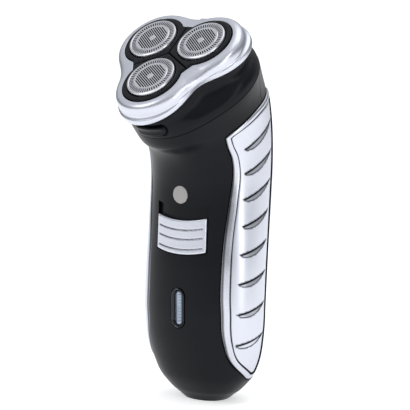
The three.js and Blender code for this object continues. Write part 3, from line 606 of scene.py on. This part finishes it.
def material(name, colour, roughness, metallic=0.0, **more):
    """A surface with fine grain, faint unevenness of colour and gloss, a micro bump, and painted
    shade mixed into its colour.
    """
    made = bpy.data.materials.new(name)
    made.use_nodes = True
    nodes, links = made.node_tree.nodes, made.node_tree.links

    def feed(node, inputs):
        """Sets a number on each named input, or links an output to it."""
        for key, value in inputs.items():
            if isinstance(value, bpy.types.NodeSocket):
                links.new(value, node.inputs[key])
            else:
                node.inputs[key].default_value = value
        return node

    def node(kind, inputs):
        return feed(nodes.new("ShaderNode" + kind), inputs)

    def attribute(name):
        made = nodes.new("ShaderNodeAttribute")
        made.attribute_name = name
        return made.outputs

    def noise(scale, source):
        inputs = {"Scale": scale, "Detail": 3.0, "Vector": source}
        return node("TexNoise", inputs).outputs["Fac"]

    def spread(source, low, high):
        ranged = {"From Min": 0.25, "From Max": 0.75, "To Min": low, "To Max": high}
        return node("MapRange", ranged | {"Value": source}).outputs["Result"]

    def mixed(share, first, second):
        mix = nodes.new("ShaderNodeMix")
        mix.data_type = "RGBA"
        return feed(mix, {"Factor": share, "A": first, "B": second}).outputs["Result"]

    where = nodes.new("ShaderNodeTexCoord").outputs["Object"]
    stretched = where
    if "stretch" in more:
        mapping = node("Mapping", {"Scale": more["stretch"], "Vector": where})
        stretched = mapping.outputs["Vector"]
    grain = noise(more.get("grain", 2200), stretched)
    cloud = noise(more.get("cloud", 55), where)
    uneven = more.get("uneven", 0.06)
    dark = [c * (1 - uneven) for c in colour] + [1]
    light = [min(1, c * (1 + uneven)) for c in colour] + [1]
    mottled = mixed(spread(grain, 0, 1), dark, light)
    height = grain
    if "rings" in more:
        wave = nodes.new("ShaderNodeTexWave")
        wave.wave_type = "RINGS"
        wave.rings_direction = "Z"
        feed(wave, {"Scale": more["rings"], "Distortion": 1.5, "Detail Scale": 4.0,
                    "Vector": attribute("local")["Vector"]})
        height = wave.outputs["Fac"]
    bump = node("Bump", {"Strength": more.get("bump", 0.25),
                         "Distance": more.get("depth", 0.03) * MM, "Height": height})
    gloss = (roughness * (1 - 2 * uneven), roughness * (1 + 2 * uneven))
    feed(nodes["Principled BSDF"], {
        "Metallic": metallic,
        "Roughness": spread(cloud, *gloss),
        # Painted shade: the attribute blends the colour towards the shade colour above.
        "Base Color": mixed(attribute("painted_shade")["Fac"], mottled, PAINTED_SHADE_COLOUR),
        "Normal": bump.outputs["Normal"],
    } | more.get("shader", {}))
    return made


FINISH = {
    "black_satin": material(
        "black_satin", (0.0040, 0.0046, 0.0070), 0.34, grain=2600, bump=0.2, depth=0.03,
        uneven=0.08, shader={"Specular IOR Level": 0.14},
    ),
    "silver_satin": material(
        "silver_satin", (0.60, 0.62, 0.685), 0.31, 1.0, grain=5200, bump=0.12, depth=0.015,
        uneven=0.05,
    ),
    "bright_trim": material(
        "bright_trim", (0.57, 0.59, 0.65), 0.2, 1.0, grain=1600, bump=0.05, uneven=0.04
    ),
    "cutter_nickel": material(
        "cutter_nickel", (0.60, 0.61, 0.65), 0.24, 1.0, rings=1.4, bump=0.12, depth=0.01,
        uneven=0.08,
    ),
    "steel": material(
        "steel", (0.30, 0.31, 0.34), 0.34, 1.0, grain=900, stretch=(1, 1, 12), bump=0.15,
        depth=0.01, uneven=0.12,
    ),
    "brass": material("brass", (0.62, 0.44, 0.17), 0.28, 1.0, grain=1500, uneven=0.1),
    "white_nylon": material(
        "white_nylon", (0.72, 0.70, 0.64), 0.42, grain=1400, uneven=0.05,
        shader={"Subsurface Weight": 0.08},
    ),
    "grey_badge": material("grey_badge", (0.33, 0.32, 0.31), 0.45, grain=3000, uneven=0.08),
    "clear_lens": material(
        "clear_lens", (0.50, 0.60, 0.78), 0.12, grain=2500, bump=0.1, uneven=0.05,
        shader={"Transmission Weight": 0.25, "IOR": 1.49, "Coat Weight": 0.4},
    ),
    "board_green": material("board_green", (0.02, 0.12, 0.05), 0.35, grain=700, uneven=0.2),
    "cell_wrap": material("cell_wrap", (0.05, 0.22, 0.09), 0.3, grain=300, uneven=0.1),
    "grey_plastic": material("grey_plastic", (0.07, 0.073, 0.08), 0.45, grain=2400, uneven=0.1),
}

BODY_OF = {n: b for b, ns in frame["record"]["behaviour"]["bodies"].items() for n in ns}
SLOT_OF = {s["node"]: s["material_slot"] for s in frame["record"]["subparts"]}

for node, thing in frame["nodes"].items():
    for place in thing.material_slots:
        place.material = FINISH[SLOT_OF[node]]


def piece(node, body, at, crease=32.0):
    """Turns a body in millimetres into the visible piece that stands for a CAD node."""
    body.name = body.data.name = node + "_form"
    mesh = body.data
    local = mesh.attributes.new("local", "FLOAT_VECTOR", "POINT")
    coordinates = np.empty(len(mesh.vertices) * 3, np.float32)
    mesh.vertices.foreach_get("co", coordinates)
    local.data.foreach_set("vector", coordinates)
    mesh.transform(at @ Matrix.Scale(MM, 4))
    mesh.materials.clear()
    mesh.materials.append(FINISH[SLOT_OF[node]])
    body.data.shade_smooth()
    body.data.set_sharp_from_angle(angle=math.radians(crease))
    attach(body, BODY_OF[node])
    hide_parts(node)
    return body


# ---- Handle: side panels and trims ------------------------------------------------------


def seen_from_side(amount):
    """A width on the skin, as seen from the side where the skin turns to the front."""
    return lambda pts: amount * (0.62 + 0.38 * np.clip((pts[:, 0] + 14) / 10, 0, 1))


trim_outline = smooth_loop(TRIM_OUTLINE, 0.5)
panel_outline = inset(trim_outline, seen_from_side(TRIM_WIDTH + GAP + 0.12))
trim_inner = inset(trim_outline, seen_from_side(TRIM_WIDTH))


def bezier(p, q, r, t, count=40):
    u = np.linspace(0, 1, count)[:, None]
    return p * (1 - u) ** 3 + 3 * q * u * (1 - u) ** 2 + 3 * r * u**2 * (1 - u) + t * u**3


def groove(k):
    """A leaf with a round front tip and a full belly: its lower and its upper edge."""
    start = np.array([-9.9 + 2.4 * math.cos((k - 1) * math.pi / 5.2),
                      104.95 - 9.5 * k - 0.25 * k * k])
    slope = math.radians(16 + 18.5 * (1 - k / (GROOVE_COUNT - 1)) ** 2)
    run = 4.9 + 3.5 * math.cos(k * math.pi / 6.5) - start[0]
    chord = np.array([run, run * math.tan(slope)])
    across = np.array([-math.sin(slope), math.cos(slope)])

    def at(share, lift):
        return start + chord * share + across * lift

    lower = bezier(at(0, 0), at(0, -2.4), at(0.5, -4), at(1, 0))
    upper = bezier(at(1, 0), at(0.7, -0.5), at(0.25, -0.2), at(0, 0))
    return lower, upper


def side_panel(node, mirror):
    """A plate with grooves that drop steeply at their upper edge and rise to the lower."""
    leaves = []
    for lower, upper in map(groove, range(GROOVE_COUNT)):
        leaf = np.vstack([lower, upper[1:-1]])
        there_and_back = [np.vstack([edge, edge[-2:0:-1]]) for edge in (lower, upper)]
        leaves.append((leaf, *there_and_back))
    wall = 0.14  # how far in from its edge a groove reaches its depth
    creases = edge_lines(panel_outline, 0.55)
    for leaf, *_ in leaves:
        creases += [leaf] + [inset(leaf, reach) for reach in (wall, 0.24, 0.5, 0.75, 0.95)]

    def in_leaf(points, leaf, lower, upper):
        low, high = leaf.min(0) - 0.3, leaf.max(0) + 0.3
        near = np.flatnonzero(((points > low) & (points < high)).all(1))
        some = points[near]
        edge = distance(some, leaf)
        kept = inside(some, leaf) | (edge < 0.01)
        near, some, edge = near[kept], some[kept], edge[kept]
        return near, edge, distance(some, lower), distance(some, upper)

    def height(points):
        top = PANEL_STEP - round_edge(distance(points, panel_outline), 0.55)
        for leaf in leaves:
            near, edge, from_lower, from_upper = in_leaf(points, *leaf)
            share = from_lower / np.maximum(from_lower + from_upper, 1e-6)
            top[near] -= (0.2 + 0.35 * share) * np.clip(edge / wall, 0, 1)
        return top

    def shade(points):
        """Painted shade in the gap round the panel and along the edges of each groove, with a
        painted shadow fading down from each groove's upper wall.
        """
        dark = 1 - np.clip((distance(points, panel_outline) - 0.16) / 0.16, 0, 1)
        for leaf in leaves:
            near, _, from_lower, from_upper = in_leaf(points, *leaf)
            line = 1 - np.clip((from_upper - 0.75) / 0.2, 0, 1)
            thin = 0.95 * (1 - np.clip((from_lower - 0.1) / 0.14, 0, 1))
            fade = 0.3 * (1 - np.clip((from_upper - 0.8) / 0.5, 0, 1))
            dark[near] = np.maximum(dark[near], np.maximum(np.maximum(line, thin), fade))
        return dark

    body = relief(
        [panel_outline], height, -RECESS_DEPTH + GAP, on_skin("x", 1), 0.62, creases, mirror,
        shade,
    )
    piece(node, body, HANDLE, 38)


def panel_trim(node, mirror):
    """A bright band whose outer half slopes down to the housing."""
    widths = (0.06, 0.2, 0.45, 0.8, 1.05, 1.25, 1.55, 1.85, 2.0, 2.12)
    creases = [inset(trim_outline, seen_from_side(width)) for width in widths]

    def across(points):
        return distance(points, trim_outline) / seen_from_side(1.0)(points)

    def height(points):
        outer = across(points)
        inner = np.clip(TRIM_WIDTH - outer, 0, None)
        slope = 0.3 * np.clip(1 - outer / 1.05, 0, 1)
        return TRIM_STEP - slope - round_edge(outer, 0.4) - round_edge(inner, 0.35)

    def shade(points):
        # Painted shade in the gap at the trim's outer edge and along its inner edge beside the
        # panel.
        outer = across(points)
        outside = 0.9 * np.clip(1 - outer / 0.2, 0, 1)
        return np.maximum(outside, np.clip((outer - TRIM_WIDTH + 0.45) / 0.2, 0, 1))

    body = relief(
        [trim_outline, trim_inner], height, -RECESS_DEPTH + GAP, on_skin("x", 1), 0.6,
        creases, mirror, shade,
    )
    piece(node, body, HANDLE, 40)


for side, mirror in (("right", False), ("left", True)):
    side_panel(f"{side}_side_panel", mirror)
    panel_trim(f"{side}_panel_trim", mirror)


# ---- Handle: housings -------------------------------------------------------------------


def switch_outline(margin, extra_top=0.0, corner=0.5):
    half = SWITCH["half"] + margin
    steps = np.linspace(-1, 1, 33)
    sag = -SWITCH["sag"] * (1 - steps**2)
    bottom = np.stack([half * steps, SWITCH["bottom"] - margin + sag], 1)
    top = np.stack([half * steps, SWITCH["top"] + margin + extra_top + sag], 1)[::-1]
    return rounded(np.vstack([bottom, top]), corner, 3)


def upright_box(half, low, high):
    return [(-half, low), (half, low), (half, high), (-half, high)]


def trimmer_outline(margin, extra_bottom=0.0):
    low, high = TRIMMER["bottom"] - margin - extra_bottom, TRIMMER["top"] + margin
    return rounded(upright_box(TRIMMER["half"] + margin, low, high), (0.6, 0.6, 8, 8), 12)


def slider_outline(margin, extra_top=0.0):
    low = SLIDER["bottom"] - margin
    high = SLIDER["bottom"] + SLIDER["height"] + margin + extra_top
    return rounded(upright_box(SLIDER["half"] + margin, low, high), 0.8, 4)


def housings():
    """Two shells that meet at the parting line, cut by recesses with softened brims."""

    def sunk(outline, low, high, axes, depth, rise=1):
        """A cutting tool that reaches a depth below the skin."""
        return cut(prism(outline, low, high, axes), handle_form(-depth, 0, rise))

    shell = handle_form(per_row=12, sides=192)
    cavity = handle_form(-WALL, 2, 2)
    wide, rim = inset(trim_outline, -GAP), inset(trim_outline, -GAP - 0.3)
    recesses = [sunk(wide, *side, "yz", RECESS_DEPTH, 6) for side in SIDES]
    lips = [sunk(rim, *side, "yz", 0.2, 6) for side in SIDES]
    cut(shell, cavity, *recesses, *lips)
    twin = placed("body", shell.data.copy())

    line = between(PARTING_LINE, np.linspace(0, len(PARTING_LINE) - 1, 60))
    front_edge = np.vstack([line, [[-70, 152], [-70, -5]]])
    rear_edge = np.vstack([line + [GAP, 0], [[60, 152], [60, -5]]])

    def inlet_hole():
        outline = pill(INLET["width"] + 2 * GAP, INLET["height"] + 2 * GAP)
        return prism(outline, -1, INLET["depth"], "xy")

    front = meet(twin, prism(front_edge, -45, 45, "yz"))
    well = sunk(switch_outline(0.4, SWITCH["travel"]), -30, 0, "xz", 1.2)
    brim = sunk(switch_outline(0.65, SWITCH["travel"]), -30, 0, "xz", 0.2)
    half, room = STEM["half"] + STEM["room"], STEM["room"]
    slot = box(
        -half, half, -25, -12, STEM["bottom"] - room, STEM["top"] + SWITCH["travel"] + room / 2
    )
    lamp = pill(LAMP["width"] + 2 * GAP, LAMP["height"] + 2 * GAP, (0, LAMP["z"]))
    cut(
        front, inlet_hole(), well, brim, slot,
        prism(lamp, -30, -8, "xz"), sunk(inset(lamp, -0.25), -30, -8, "xz", 0.2),
        rod("y", BADGE["radius"] + GAP, -25, BADGE["seat"], (0, BADGE["z"]), 96),
    )
    piece("front_housing", front, HANDLE)

    rear = meet(shell, prism(rear_edge, -45, 45, "yz"))
    depth = TRIMMER["depth"]
    tray = meet(
        prism(trimmer_outline(1.9, 0.7), 0, 40, "xz"),
        cut(handle_form(-0.5), handle_form(-depth - 1.2)),
    )
    join(rear, tray)
    trimmer_well = cut(prism(trimmer_outline(0.5, 0.5), 0, 40, "xz"), handle_form(-depth))
    trimmer_brim = cut(prism(trimmer_outline(0.8, 0.8), 0, 40, "xz"), handle_form(-0.22))
    slider_well = sunk(slider_outline(0.35, SLIDER["travel"]), 5, 40, "xz", 1.3)
    cut(rear, inlet_hole(), trimmer_well, trimmer_brim, slider_well)
    for z, back in SCREWS:
        join(rear, rod("y", 4.2, back - 5.2, back - 1.2, (0, z)))
        cut(
            rear,
            join(
                rod("y", 2.8, back - 2.6, back + 4, (0, z), 48),
                rod("y", 1.5, back - 8, back, (0, z)),
            ),
        )
    piece("rear_housing", rear, HANDLE)


housings()


# ---- Handle: switch, lamp and badge -----------------------------------------------------


def switch():
    outline = resampled(switch_outline(0, 0, 0.7), 0.3)

    def gaps(points):
        """Distances in z to the three grip lines, which sag like the cap's edges."""
        x, z = points.T
        sag = -SWITCH["sag"] * (1 - (x / SWITCH["half"]) ** 2)
        tall = SWITCH["top"] - SWITCH["bottom"]
        return [z - (SWITCH["top"] - share * tall) - sag for share in (0.28, 0.55, 0.85)]

    def height(points):
        top = 0.7 - round_edge(distance(points, outline), 0.5)
        return top - ridges(points[:, 0], gaps(points), 11.3, 0.9, 0.22, 0.3)

    def shade(points):
        # Painted shade along the three grip grooves, reaching wider than the grooves themselves.
        ends = np.clip((11.4 - np.abs(points[:, 0])) / 0.7, 0, 1)
        nearest = np.min(np.abs(gaps(points)), axis=0)
        return 0.9 * ends * np.clip(1.5 - nearest / 0.26, 0, 1)

    cap = relief(
        [outline], height, -0.75, on_skin("y", -1), 0.3, edge_lines(outline, 0.6), shade=shade
    )
    join(cap, box(-STEM["half"], STEM["half"], -19, -15.3, STEM["bottom"], STEM["top"]))
    piece("switch_slider", cap, HANDLE, 40)


def lamp():
    z, width, height, rim, front, back = LAMP.values()
    outer = pill(width, height, (0, z))
    inner = pill(width - 2 * rim, height - 2 * rim, (0, z))

    def bezel_height(points):
        reach = distance(points, outer)
        return -front - round_edge(reach, 0.3) - 0.75 * np.clip((reach - 0.35) / 0.6, 0, 1)

    creases = edge_lines(outer, 0.3) + [inset(outer, 0.36), inset(outer, 0.65)]
    # Painted shade: all but the bezel's outermost line is darkened, and that line too towards the
    # right, so it stays bright only on the left.
    bezel = relief(
        [outer, inner], bezel_height, -back, upright, 0.3, creases,
        shade=lambda points: np.clip(
            np.maximum((distance(points, outer) - 0.12) / 0.1, 0.7 + points[:, 0]), 0, 0.97
        ),
    )
    piece("indicator_bezel", bezel, HANDLE, 40)

    lens_line = pill(width - 2 * rim - 2 * GAP, height - 2 * rim - 2 * GAP, (0, z))

    def rib(points):
        return np.abs(np.sin(math.pi * (points[:, 1] - z) / 0.62))

    def lens_height(points):
        ribs = 0.16 * rib(points)
        crown = 0.5 * (1 - (points[:, 0] / 2.2) ** 2)
        return -front - 0.95 + crown * 0.6 - round_edge(distance(points, lens_line), 0.35) + ribs

    def lens_shade(points):
        # Painted shade in the rib valleys and towards the lens's left and right sides, leaving a
        # bright core.
        valley = 0.75 * (rib(points) < 0.45)
        return np.maximum(valley, np.clip((np.abs(points[:, 0] - 0.3) - 0.8) / 0.5, 0, 0.85))

    lens = relief(
        [lens_line], lens_height, -back, upright, 0.16, edge_lines(lens_line, 0.35),
        shade=lens_shade,
    )
    piece("indicator_lens", lens, HANDLE, 60)


def badge():
    radius, top = BADGE["radius"], BADGE["thickness"]
    profile = rounded([(0, 0), (radius, 0), (radius, top), (0, top)], (0, 0.05, 0.18, 0), 4)
    disc = turned(profile, 96)
    disc.data.transform(Matrix.Rotation(math.pi / 2, 4, "X"))
    disc.data.transform(Matrix.Translation((0, BADGE["seat"] - GAP, BADGE["z"])))
    piece("badge_disc", disc, HANDLE)


switch()
lamp()
badge()


# ---- Handle: trimmer at the back --------------------------------------------------------


def trimmer():
    outline = resampled(trimmer_outline(0), 0.5)

    def height(points):
        x, z = points.T
        gaps = [z - level for level in (106.5, 108.3, 110.1, 111.9)]
        top = -round_edge(distance(points, outline), 0.7)
        return top - ridges(x, gaps, 6.5, 0.8, 0.4, 0.55)

    lid = relief([outline], height, -1.8, on_skin("y", 1), 0.5, edge_lines(outline, 0.7))
    pin = (TRIMMER["pin_y"], TRIMMER["pin_z"])
    for x0, x1 in ((-13, -6), (6, 13)):
        join(lid, rod("x", 1.35, x0, x1, pin))
    cut(lid, rod("x", 1.0, -16, 16, pin))
    piece("trimmer_arm", lid, HANDLE, 38)

    catch = resampled(slider_outline(0), 0.3)

    def catch_height(points):
        x, z = points.T
        gaps = [z - SLIDER["bottom"] - 1.2 * step for step in range(1, 5)]
        top = 0.9 - round_edge(distance(points, catch), 0.5)
        return top - ridges(x, gaps, 5, 0.6, 0.35, 0.38)

    cap = relief([catch], catch_height, -0.8, on_skin("y", 1), 0.28, edge_lines(catch, 0.5))
    piece("trimmer_slider", cap, HANDLE, 38)


trimmer()


# ---- Head: hair chamber and frame -------------------------------------------------------

HEAD_SIDES = 264
ANGLES = np.arange(HEAD_SIDES) * 2 * math.pi / HEAD_SIDES


def waved(ring, rise):
    """Raises a head section towards its three waists."""
    ring = np.array(ring, float)
    ring[:, 2] += rise * (1 - np.cos(3 * ANGLES)) / 2
    return ring


def lobed_form(rows, margin=0.0, steps=6):
    rows = between(rows, np.linspace(0, len(rows) - 1, (len(rows) - 1) * steps + 1))
    rings = []
    for z, lobe, notch, front_cut, rise in rows:
        ring = head_ring(lobed_radius(lobe + margin, notch + margin, ANGLES, front_cut), ANGLES, z)
        rings.append(waved(ring, rise))
    return loft(rings)


def knuckles(spans, arm_low, arm_high):
    """Knuckles round the head's hinge pin, each with an arm that reaches a wall."""
    y, z = HINGE_PIN["y"], HINGE_PIN["z"]
    made = None
    for x0, x1 in spans:
        block = join(
            rod("x", HINGE_PIN["knuckle"], x0, x1, (y, z), 40),
            box(x0, x1, 20.2, y, arm_low, arm_high),
        )
        made = join(made, block) if made else block
    return cut(made, rod("x", HINGE_PIN["radius"] + GAP, -8, 8, (y, z), 40))


def hair_chamber():
    outer = lobed_form(CHAMBER_ROWS)
    rows = [[-22, 30.6, 27.2, 2.6, 0], *CHAMBER_ROWS[1:], [-8, 30.2, 20.6, 0, WAVE]]
    inner = lobed_form(rows, -1.6)
    cut(inner, box(-40, 40, -40, 40, -17.8, -16.2))
    level, back = RELEASE["level"], RELEASE["back"]
    pocket = meet(
        box(-8.9, 8.9, -29.4, -22.4, level - 3.1, level + 3.1), lobed_form(CHAMBER_ROWS)
    )
    window = pill(RELEASE["width"] + 0.8, RELEASE["height"] + 0.8, (0, level))
    cut(outer, inner)
    join(outer, pocket)
    cut(outer, prism(window, -40, back + 1.9, "xz"))
    funnel = cut(
        prism(inset(window, -0.5), -40, back + 1.9, "xz"), lobed_form(CHAMBER_ROWS, -0.35)
    )
    cut(outer, funnel)
    for _, turn in PLACES:
        angle = math.radians(turn)
        at = (CUTTER_ORBIT * math.sin(angle), -CUTTER_ORBIT * math.cos(angle))
        cut(outer, rod("z", 2.5, -19, -15, at))
    cut(outer, box(-2.2, 2.2, 17, 23, HINGE_PIN["z"] + 0.7, 0))
    lugs = knuckles([(-4.4, -2.2), (2.2, 4.4)], HINGE_PIN["z"] - 1.6, HINGE_PIN["z"])
    join(outer, lugs)
    piece("hair_chamber", outer, HEAD)


def release_button():
    """A lying pill whose face bulges across its width and rounds over at its edge."""
    line = pill(RELEASE["width"], RELEASE["height"], (0, RELEASE["level"]))
    crown = -RELEASE["front"]

    def height(points):
        sides = 1.1 * (points[:, 0] / 7.2) ** 2
        dish = 0.35 * np.clip(1 - ((points[:, 1] - RELEASE["level"]) / 1.6) ** 2, 0, 1)
        return crown - 0.1 - sides - dish - round_edge(distance(points, line), 0.7)

    body = relief([line], height, -RELEASE["back"], upright, 0.28, edge_lines(line, 0.7))
    piece("release_button", body, HEAD, 45)


def head_frame():
    """The silver frame: out over a rounded shoulder, down to a waist and out to a lip."""
    mouth = holder_radius(ANGLES, 0.35)
    lobe, waist, lip, wall = (FRAME[key] for key in ("lobe", "waist", "lip", "wall"))
    outside = lobed_radius(lobe, FRAME["shoulder"], ANGLES)

    def ring(share, grow, z):
        return head_ring(mouth + (outside - mouth) * share + grow, ANGLES, z)

    def low_ring(lobe, notch, grow, z, rise):
        ring = head_ring(lobed_radius(lobe, notch, ANGLES) + grow, ANGLES, z)
        return waved(ring, rise * WAVE)

    rings = [ring(0, 0.25, -1.62), ring(0, 0.08, -1.7), ring(0, 0, -1.9), ring(0, 0, -3.6)]
    rings += [low_ring(lobe, waist, -wall, z, 0) for z in (-3.6, -6.4)]
    rings.append(low_ring(lobe, waist, -wall, -9.5, 1))
    lower = [
        (lip, waist, 0.1, -9.5, 1), (lip, waist, 0.32, -9.42, 1), (lip, waist, 0.47, -9.2, 1),
        (lip, waist, 0.5, -8.9, 1), (lip, 20.9, 0.5, -7.6, 0.6), (31.65, 21, 0.47, -7.3, 0.55),
        (31.5, 21.2, 0.36, -7.1, 0.5), (31.3, 21.4, 0.15, -6.9, 0.4),
        (31.1, 21.7, -0.05, -6.5, 0.3), (30.9, 22, -0.08, -6.1, 0.15),
    ]
    rings += [low_ring(*row) for row in lower]
    for turn in np.linspace(0, 1, 22):
        share = 1 - (1 - math.cos(turn * math.pi / 2)) ** 1.15
        z = -1.6 - 4.0 * (1 - math.sin(turn * math.pi / 2)) ** 1.25
        rings.append(ring(share * 0.99 + 0.01 * (1 - turn), 0.25 * (turn > 0.97), z))
    body = tube(rings)
    lug = knuckles([(-1.9, 1.9)], HINGE_PIN["z"] + 1, HINGE_PIN["z"] + 4.2)
    join(body, lug)
    piece("head_frame", body, HEAD, 50)


hair_chamber()
release_button()
head_frame()


# ---- Head: holders and cutters ----------------------------------------------------------


def holder_outline():
    seam = 0.2
    angle = np.linspace(-math.pi / 3, math.pi / 3, 97)
    radius = holder_radius(angle)
    points = np.stack([radius * np.sin(angle), -radius * np.cos(angle)], 1)
    for end, sign in ((0, 1), (-1, -1)):
        points[end] += sign * seam * np.array([math.cos(angle[end]), math.sin(angle[end])])
    tip = [0, -seam / math.sin(math.pi / 3)]
    return np.vstack([[tip], points]) + [0, CUTTER_ORBIT]


def slotted_cap(twist):
    """The outer cutter: a cap with radial slots in a ring and parallel slots inside it."""
    profile = [
        (0, 0.06), (1.2, 0.06), (1.35, 0), (1.7, -0.05), (6.5, -0.05), (6.75, 0.0),
        (7.1, 0.0), (7.3, -0.16), (9.25, -0.16), (9.45, 0.0), (9.7, 0.0), (10.05, -0.18),
        (10.25, -0.65), (10.25, -4.5), (11.2, -4.5), (11.2, -5.1), (9.65, -5.1),
        (9.65, -0.8), (0, -0.8),
    ]
    cap = turned(profile[::-1], 144)
    slots = []
    near, far, pitch, ring_slots = 7.45, 9.1, 0.8, 54
    for i in range(ring_slots):
        angle = 2 * math.pi * i / ring_slots
        along = np.array([math.cos(angle), math.sin(angle)])
        aside = np.array([-along[1], along[0]]) * 0.25
        slots.append([along * near - aside, along * far - aside, along * far + aside,
                      along * near + aside])
    turn = math.radians(twist)
    spin = np.array([[math.cos(turn), math.sin(turn)], [-math.sin(turn), math.cos(turn)]])
    for i in range(-7, 8):
        x = i * pitch
        reach = math.sqrt(6.3**2 - x * x)
        inner = math.sqrt(max(0, 1.5**2 - x * x))
        spans = [(-reach, reach)] if inner == 0 else [(-reach, -inner), (inner, reach)]
        for low, high in spans:
            corners = [(x - 0.23, low), (x + 0.23, low), (x + 0.23, high), (x - 0.23, high)]
            slots.append([np.array(corner) @ spin for corner in corners])
    points, faces = [], []
    for slot in slots:
        start = len(points)
        points += [(*p, z) for z in (-1.2, 0.4) for p in slot]
        faces += [tuple(start + k for k in face) for face in BOX_FACES]
    cut(cap, solid(points, faces))
    # Painted shade on the slot walls and other steep faces sunk below the cap's top inside the
    # ring.
    return painted_shade_on(
        cap,
        lambda at, normal: -0.95 < at[2] < -0.09 and normal[2] < 0.6 and at.xy.length < 9.24,
    )


def painted_shade_on(body, chosen):
    """Paints shade on the faces for which chosen(middle, normal) holds, as if they lay deep in
    shadow.
    """
    mesh = body.data
    marks = np.zeros(len(mesh.loops), np.float32)
    for face in mesh.polygons:
        if chosen(face.center, face.normal):
            marks[face.loop_start:face.loop_start + face.loop_total] = 0.97
    attribute = mesh.attributes.new("painted_shade", "FLOAT", "CORNER")
    attribute.data.foreach_set("value", marks)
    return body


def inner_cutter():
    disc = turned(
        rounded(
            [(0, -3.2), (0, -4.2), (2.1, -4.2), (2.1, -7.2), (3, -7.2), (3, -4.2),
             (9.3, -4.2), (9.3, -3.2)], (0, 0, 0, 0.1, 0.1, 0.3, 0.15, 0.15), 3,
        ), 96,
    )
    for i in range(12):
        blade = prism([(7, -3.4), (9.2, -3.4), (9.2, -1.1), (7, -1.1)], -0.35, 0.35, "yz")
        blade.data.transform(Matrix.Rotation(math.radians(i * 30), 4, "Z"))
        join(disc, blade)
    # Painted shade over the inner cutter's upper side, which is seen only through the slots.
    return painted_shade_on(disc, lambda at, normal: at[2] > -4)


def cutters():
    outline = resampled(holder_outline(), 0.5)
    hole = circle(CUTTER_RADIUS + 0.35, (0, 0), 144)

    def height(points):
        edge = round_edge(distance(points, outline), 0.45)
        rim = round_edge(distance(points, hole), 0.35)
        return -1.0 - edge - rim

    creases = edge_lines(outline, 0.45) + [
        circle(CUTTER_RADIUS + 0.35 + step, (0, 0), 144) for step in (0.04, 0.12, 0.35)
    ]
    twists = {"front": 56, "right": -68, "left": -7}
    for name, turn in PLACES:
        at = cutter_place(turn)
        holder = relief([outline, hole], height, -4.2, flat, 0.8, creases)
        piece(f"head_holder_{name}", holder, at, 40)
        piece(f"outer_cutter_{name}", slotted_cap(twists[name]), at, 30)
        piece(f"inner_cutter_{name}", inner_cutter(), at, 30)


cutters()


# ---- Floor, lights and camera -----------------------------------------------------------


def stage():
    """A pale floor that shines faintly, so that it stays even all the way back."""
    mesh = bpy.data.meshes.new("floor")
    reach = 6.0
    corners = [(x, y, 0) for x, y in upright_box(reach, -reach, reach)]
    mesh.from_pydata(corners, [], [(0, 1, 2, 3)])
    floor = placed("floor", mesh)
    pale = bpy.data.materials.new("floor_pale")
    pale.use_nodes = True
    shader = pale.node_tree.nodes["Principled BSDF"]
    shader.inputs["Base Color"].default_value = (0.93, 0.93, 0.93, 1)
    shader.inputs["Roughness"].default_value = 0.9
    shader.inputs["Emission Color"].default_value = (1, 1, 1, 1)
    shader.inputs["Emission Strength"].default_value = 0.5
    mesh.materials.append(pale)


def area_light(name, at, towards, size, power):
    lamp_data = bpy.data.lights.new(name, "AREA")
    lamp_data.shape = "RECTANGLE"
    lamp_data.size, lamp_data.size_y = size
    lamp_data.energy = power
    light = placed(name, lamp_data)
    light.location = at
    light.rotation_euler = (Vector(towards) - Vector(at)).to_track_quat("-Z", "Y").to_euler()


def studio():
    """A white room that is greyer near the horizon, with soft boxes above and at the sides."""
    scene = bpy.context.scene
    scene.view_settings.view_transform = "Standard"
    world = bpy.data.worlds.new("studio")
    scene.world = world
    world.use_nodes = True
    nodes, links = world.node_tree.nodes, world.node_tree.links
    where = nodes.new("ShaderNodeTexCoord").outputs["Generated"]
    parts = nodes.new("ShaderNodeSeparateXYZ")
    links.new(where, parts.inputs["Vector"])
    ramp = nodes.new("ShaderNodeValToRGB")
    levels = ((0.0, 0.8), (0.42, 0.75), (0.5, 0.30), (0.6, 0.4), (0.72, 0.9), (1.0, 1.1))
    ramp.color_ramp.elements[0].position = levels[0][0]
    ramp.color_ramp.elements[1].position = levels[-1][0]
    for position, _ in levels[1:-1]:
        ramp.color_ramp.elements.new(position)
    for element, (_, level) in zip(ramp.color_ramp.elements, levels):
        element.color = (level * 0.96, level * 0.975, level, 1)
    shift = nodes.new("ShaderNodeMath")
    shift.operation = "MULTIPLY_ADD"
    for place in (1, 2):
        shift.inputs[place].default_value = 0.5
    links.new(parts.outputs["Z"], shift.inputs[0])
    links.new(shift.outputs[0], ramp.inputs["Fac"])
    links.new(ramp.outputs["Color"], nodes["Background"].inputs["Color"])
    nodes["Background"].inputs["Strength"].default_value = 0.78
    middle = (0, AXIS_SHIFT * MM, 0.09)
    area_light("key", (-0.5, -0.9, 0.9), middle, (0.5, 0.5), 2.5)
    area_light("right_strip", (0.95, -0.25, 0.3), middle, (0.2, 0.8), 1.6)
    area_light("top", (0.2, 0.4, 1.3), middle, (1.2, 1.2), 4)


def camera():
    azimuth, elevation = math.radians(38), math.radians(8.5)
    target = Vector((0, AXIS_SHIFT * MM, 0.078))
    level = math.cos(elevation)
    away = Vector((math.sin(azimuth) * level, -math.cos(azimuth) * level, math.sin(elevation)))
    data = bpy.data.cameras.new("camera")
    data.sensor_width = 36
    data.lens = 172.0976
    data.shift_x, data.shift_y = -0.009756, 0.009756
    data.clip_end = 100
    seen = placed("camera", data)
    seen.location = target + away * 0.8
    seen.rotation_euler = (-away).to_track_quat("-Z", "Y").to_euler()
    bpy.context.scene.camera = seen


stage()
studio()
camera()
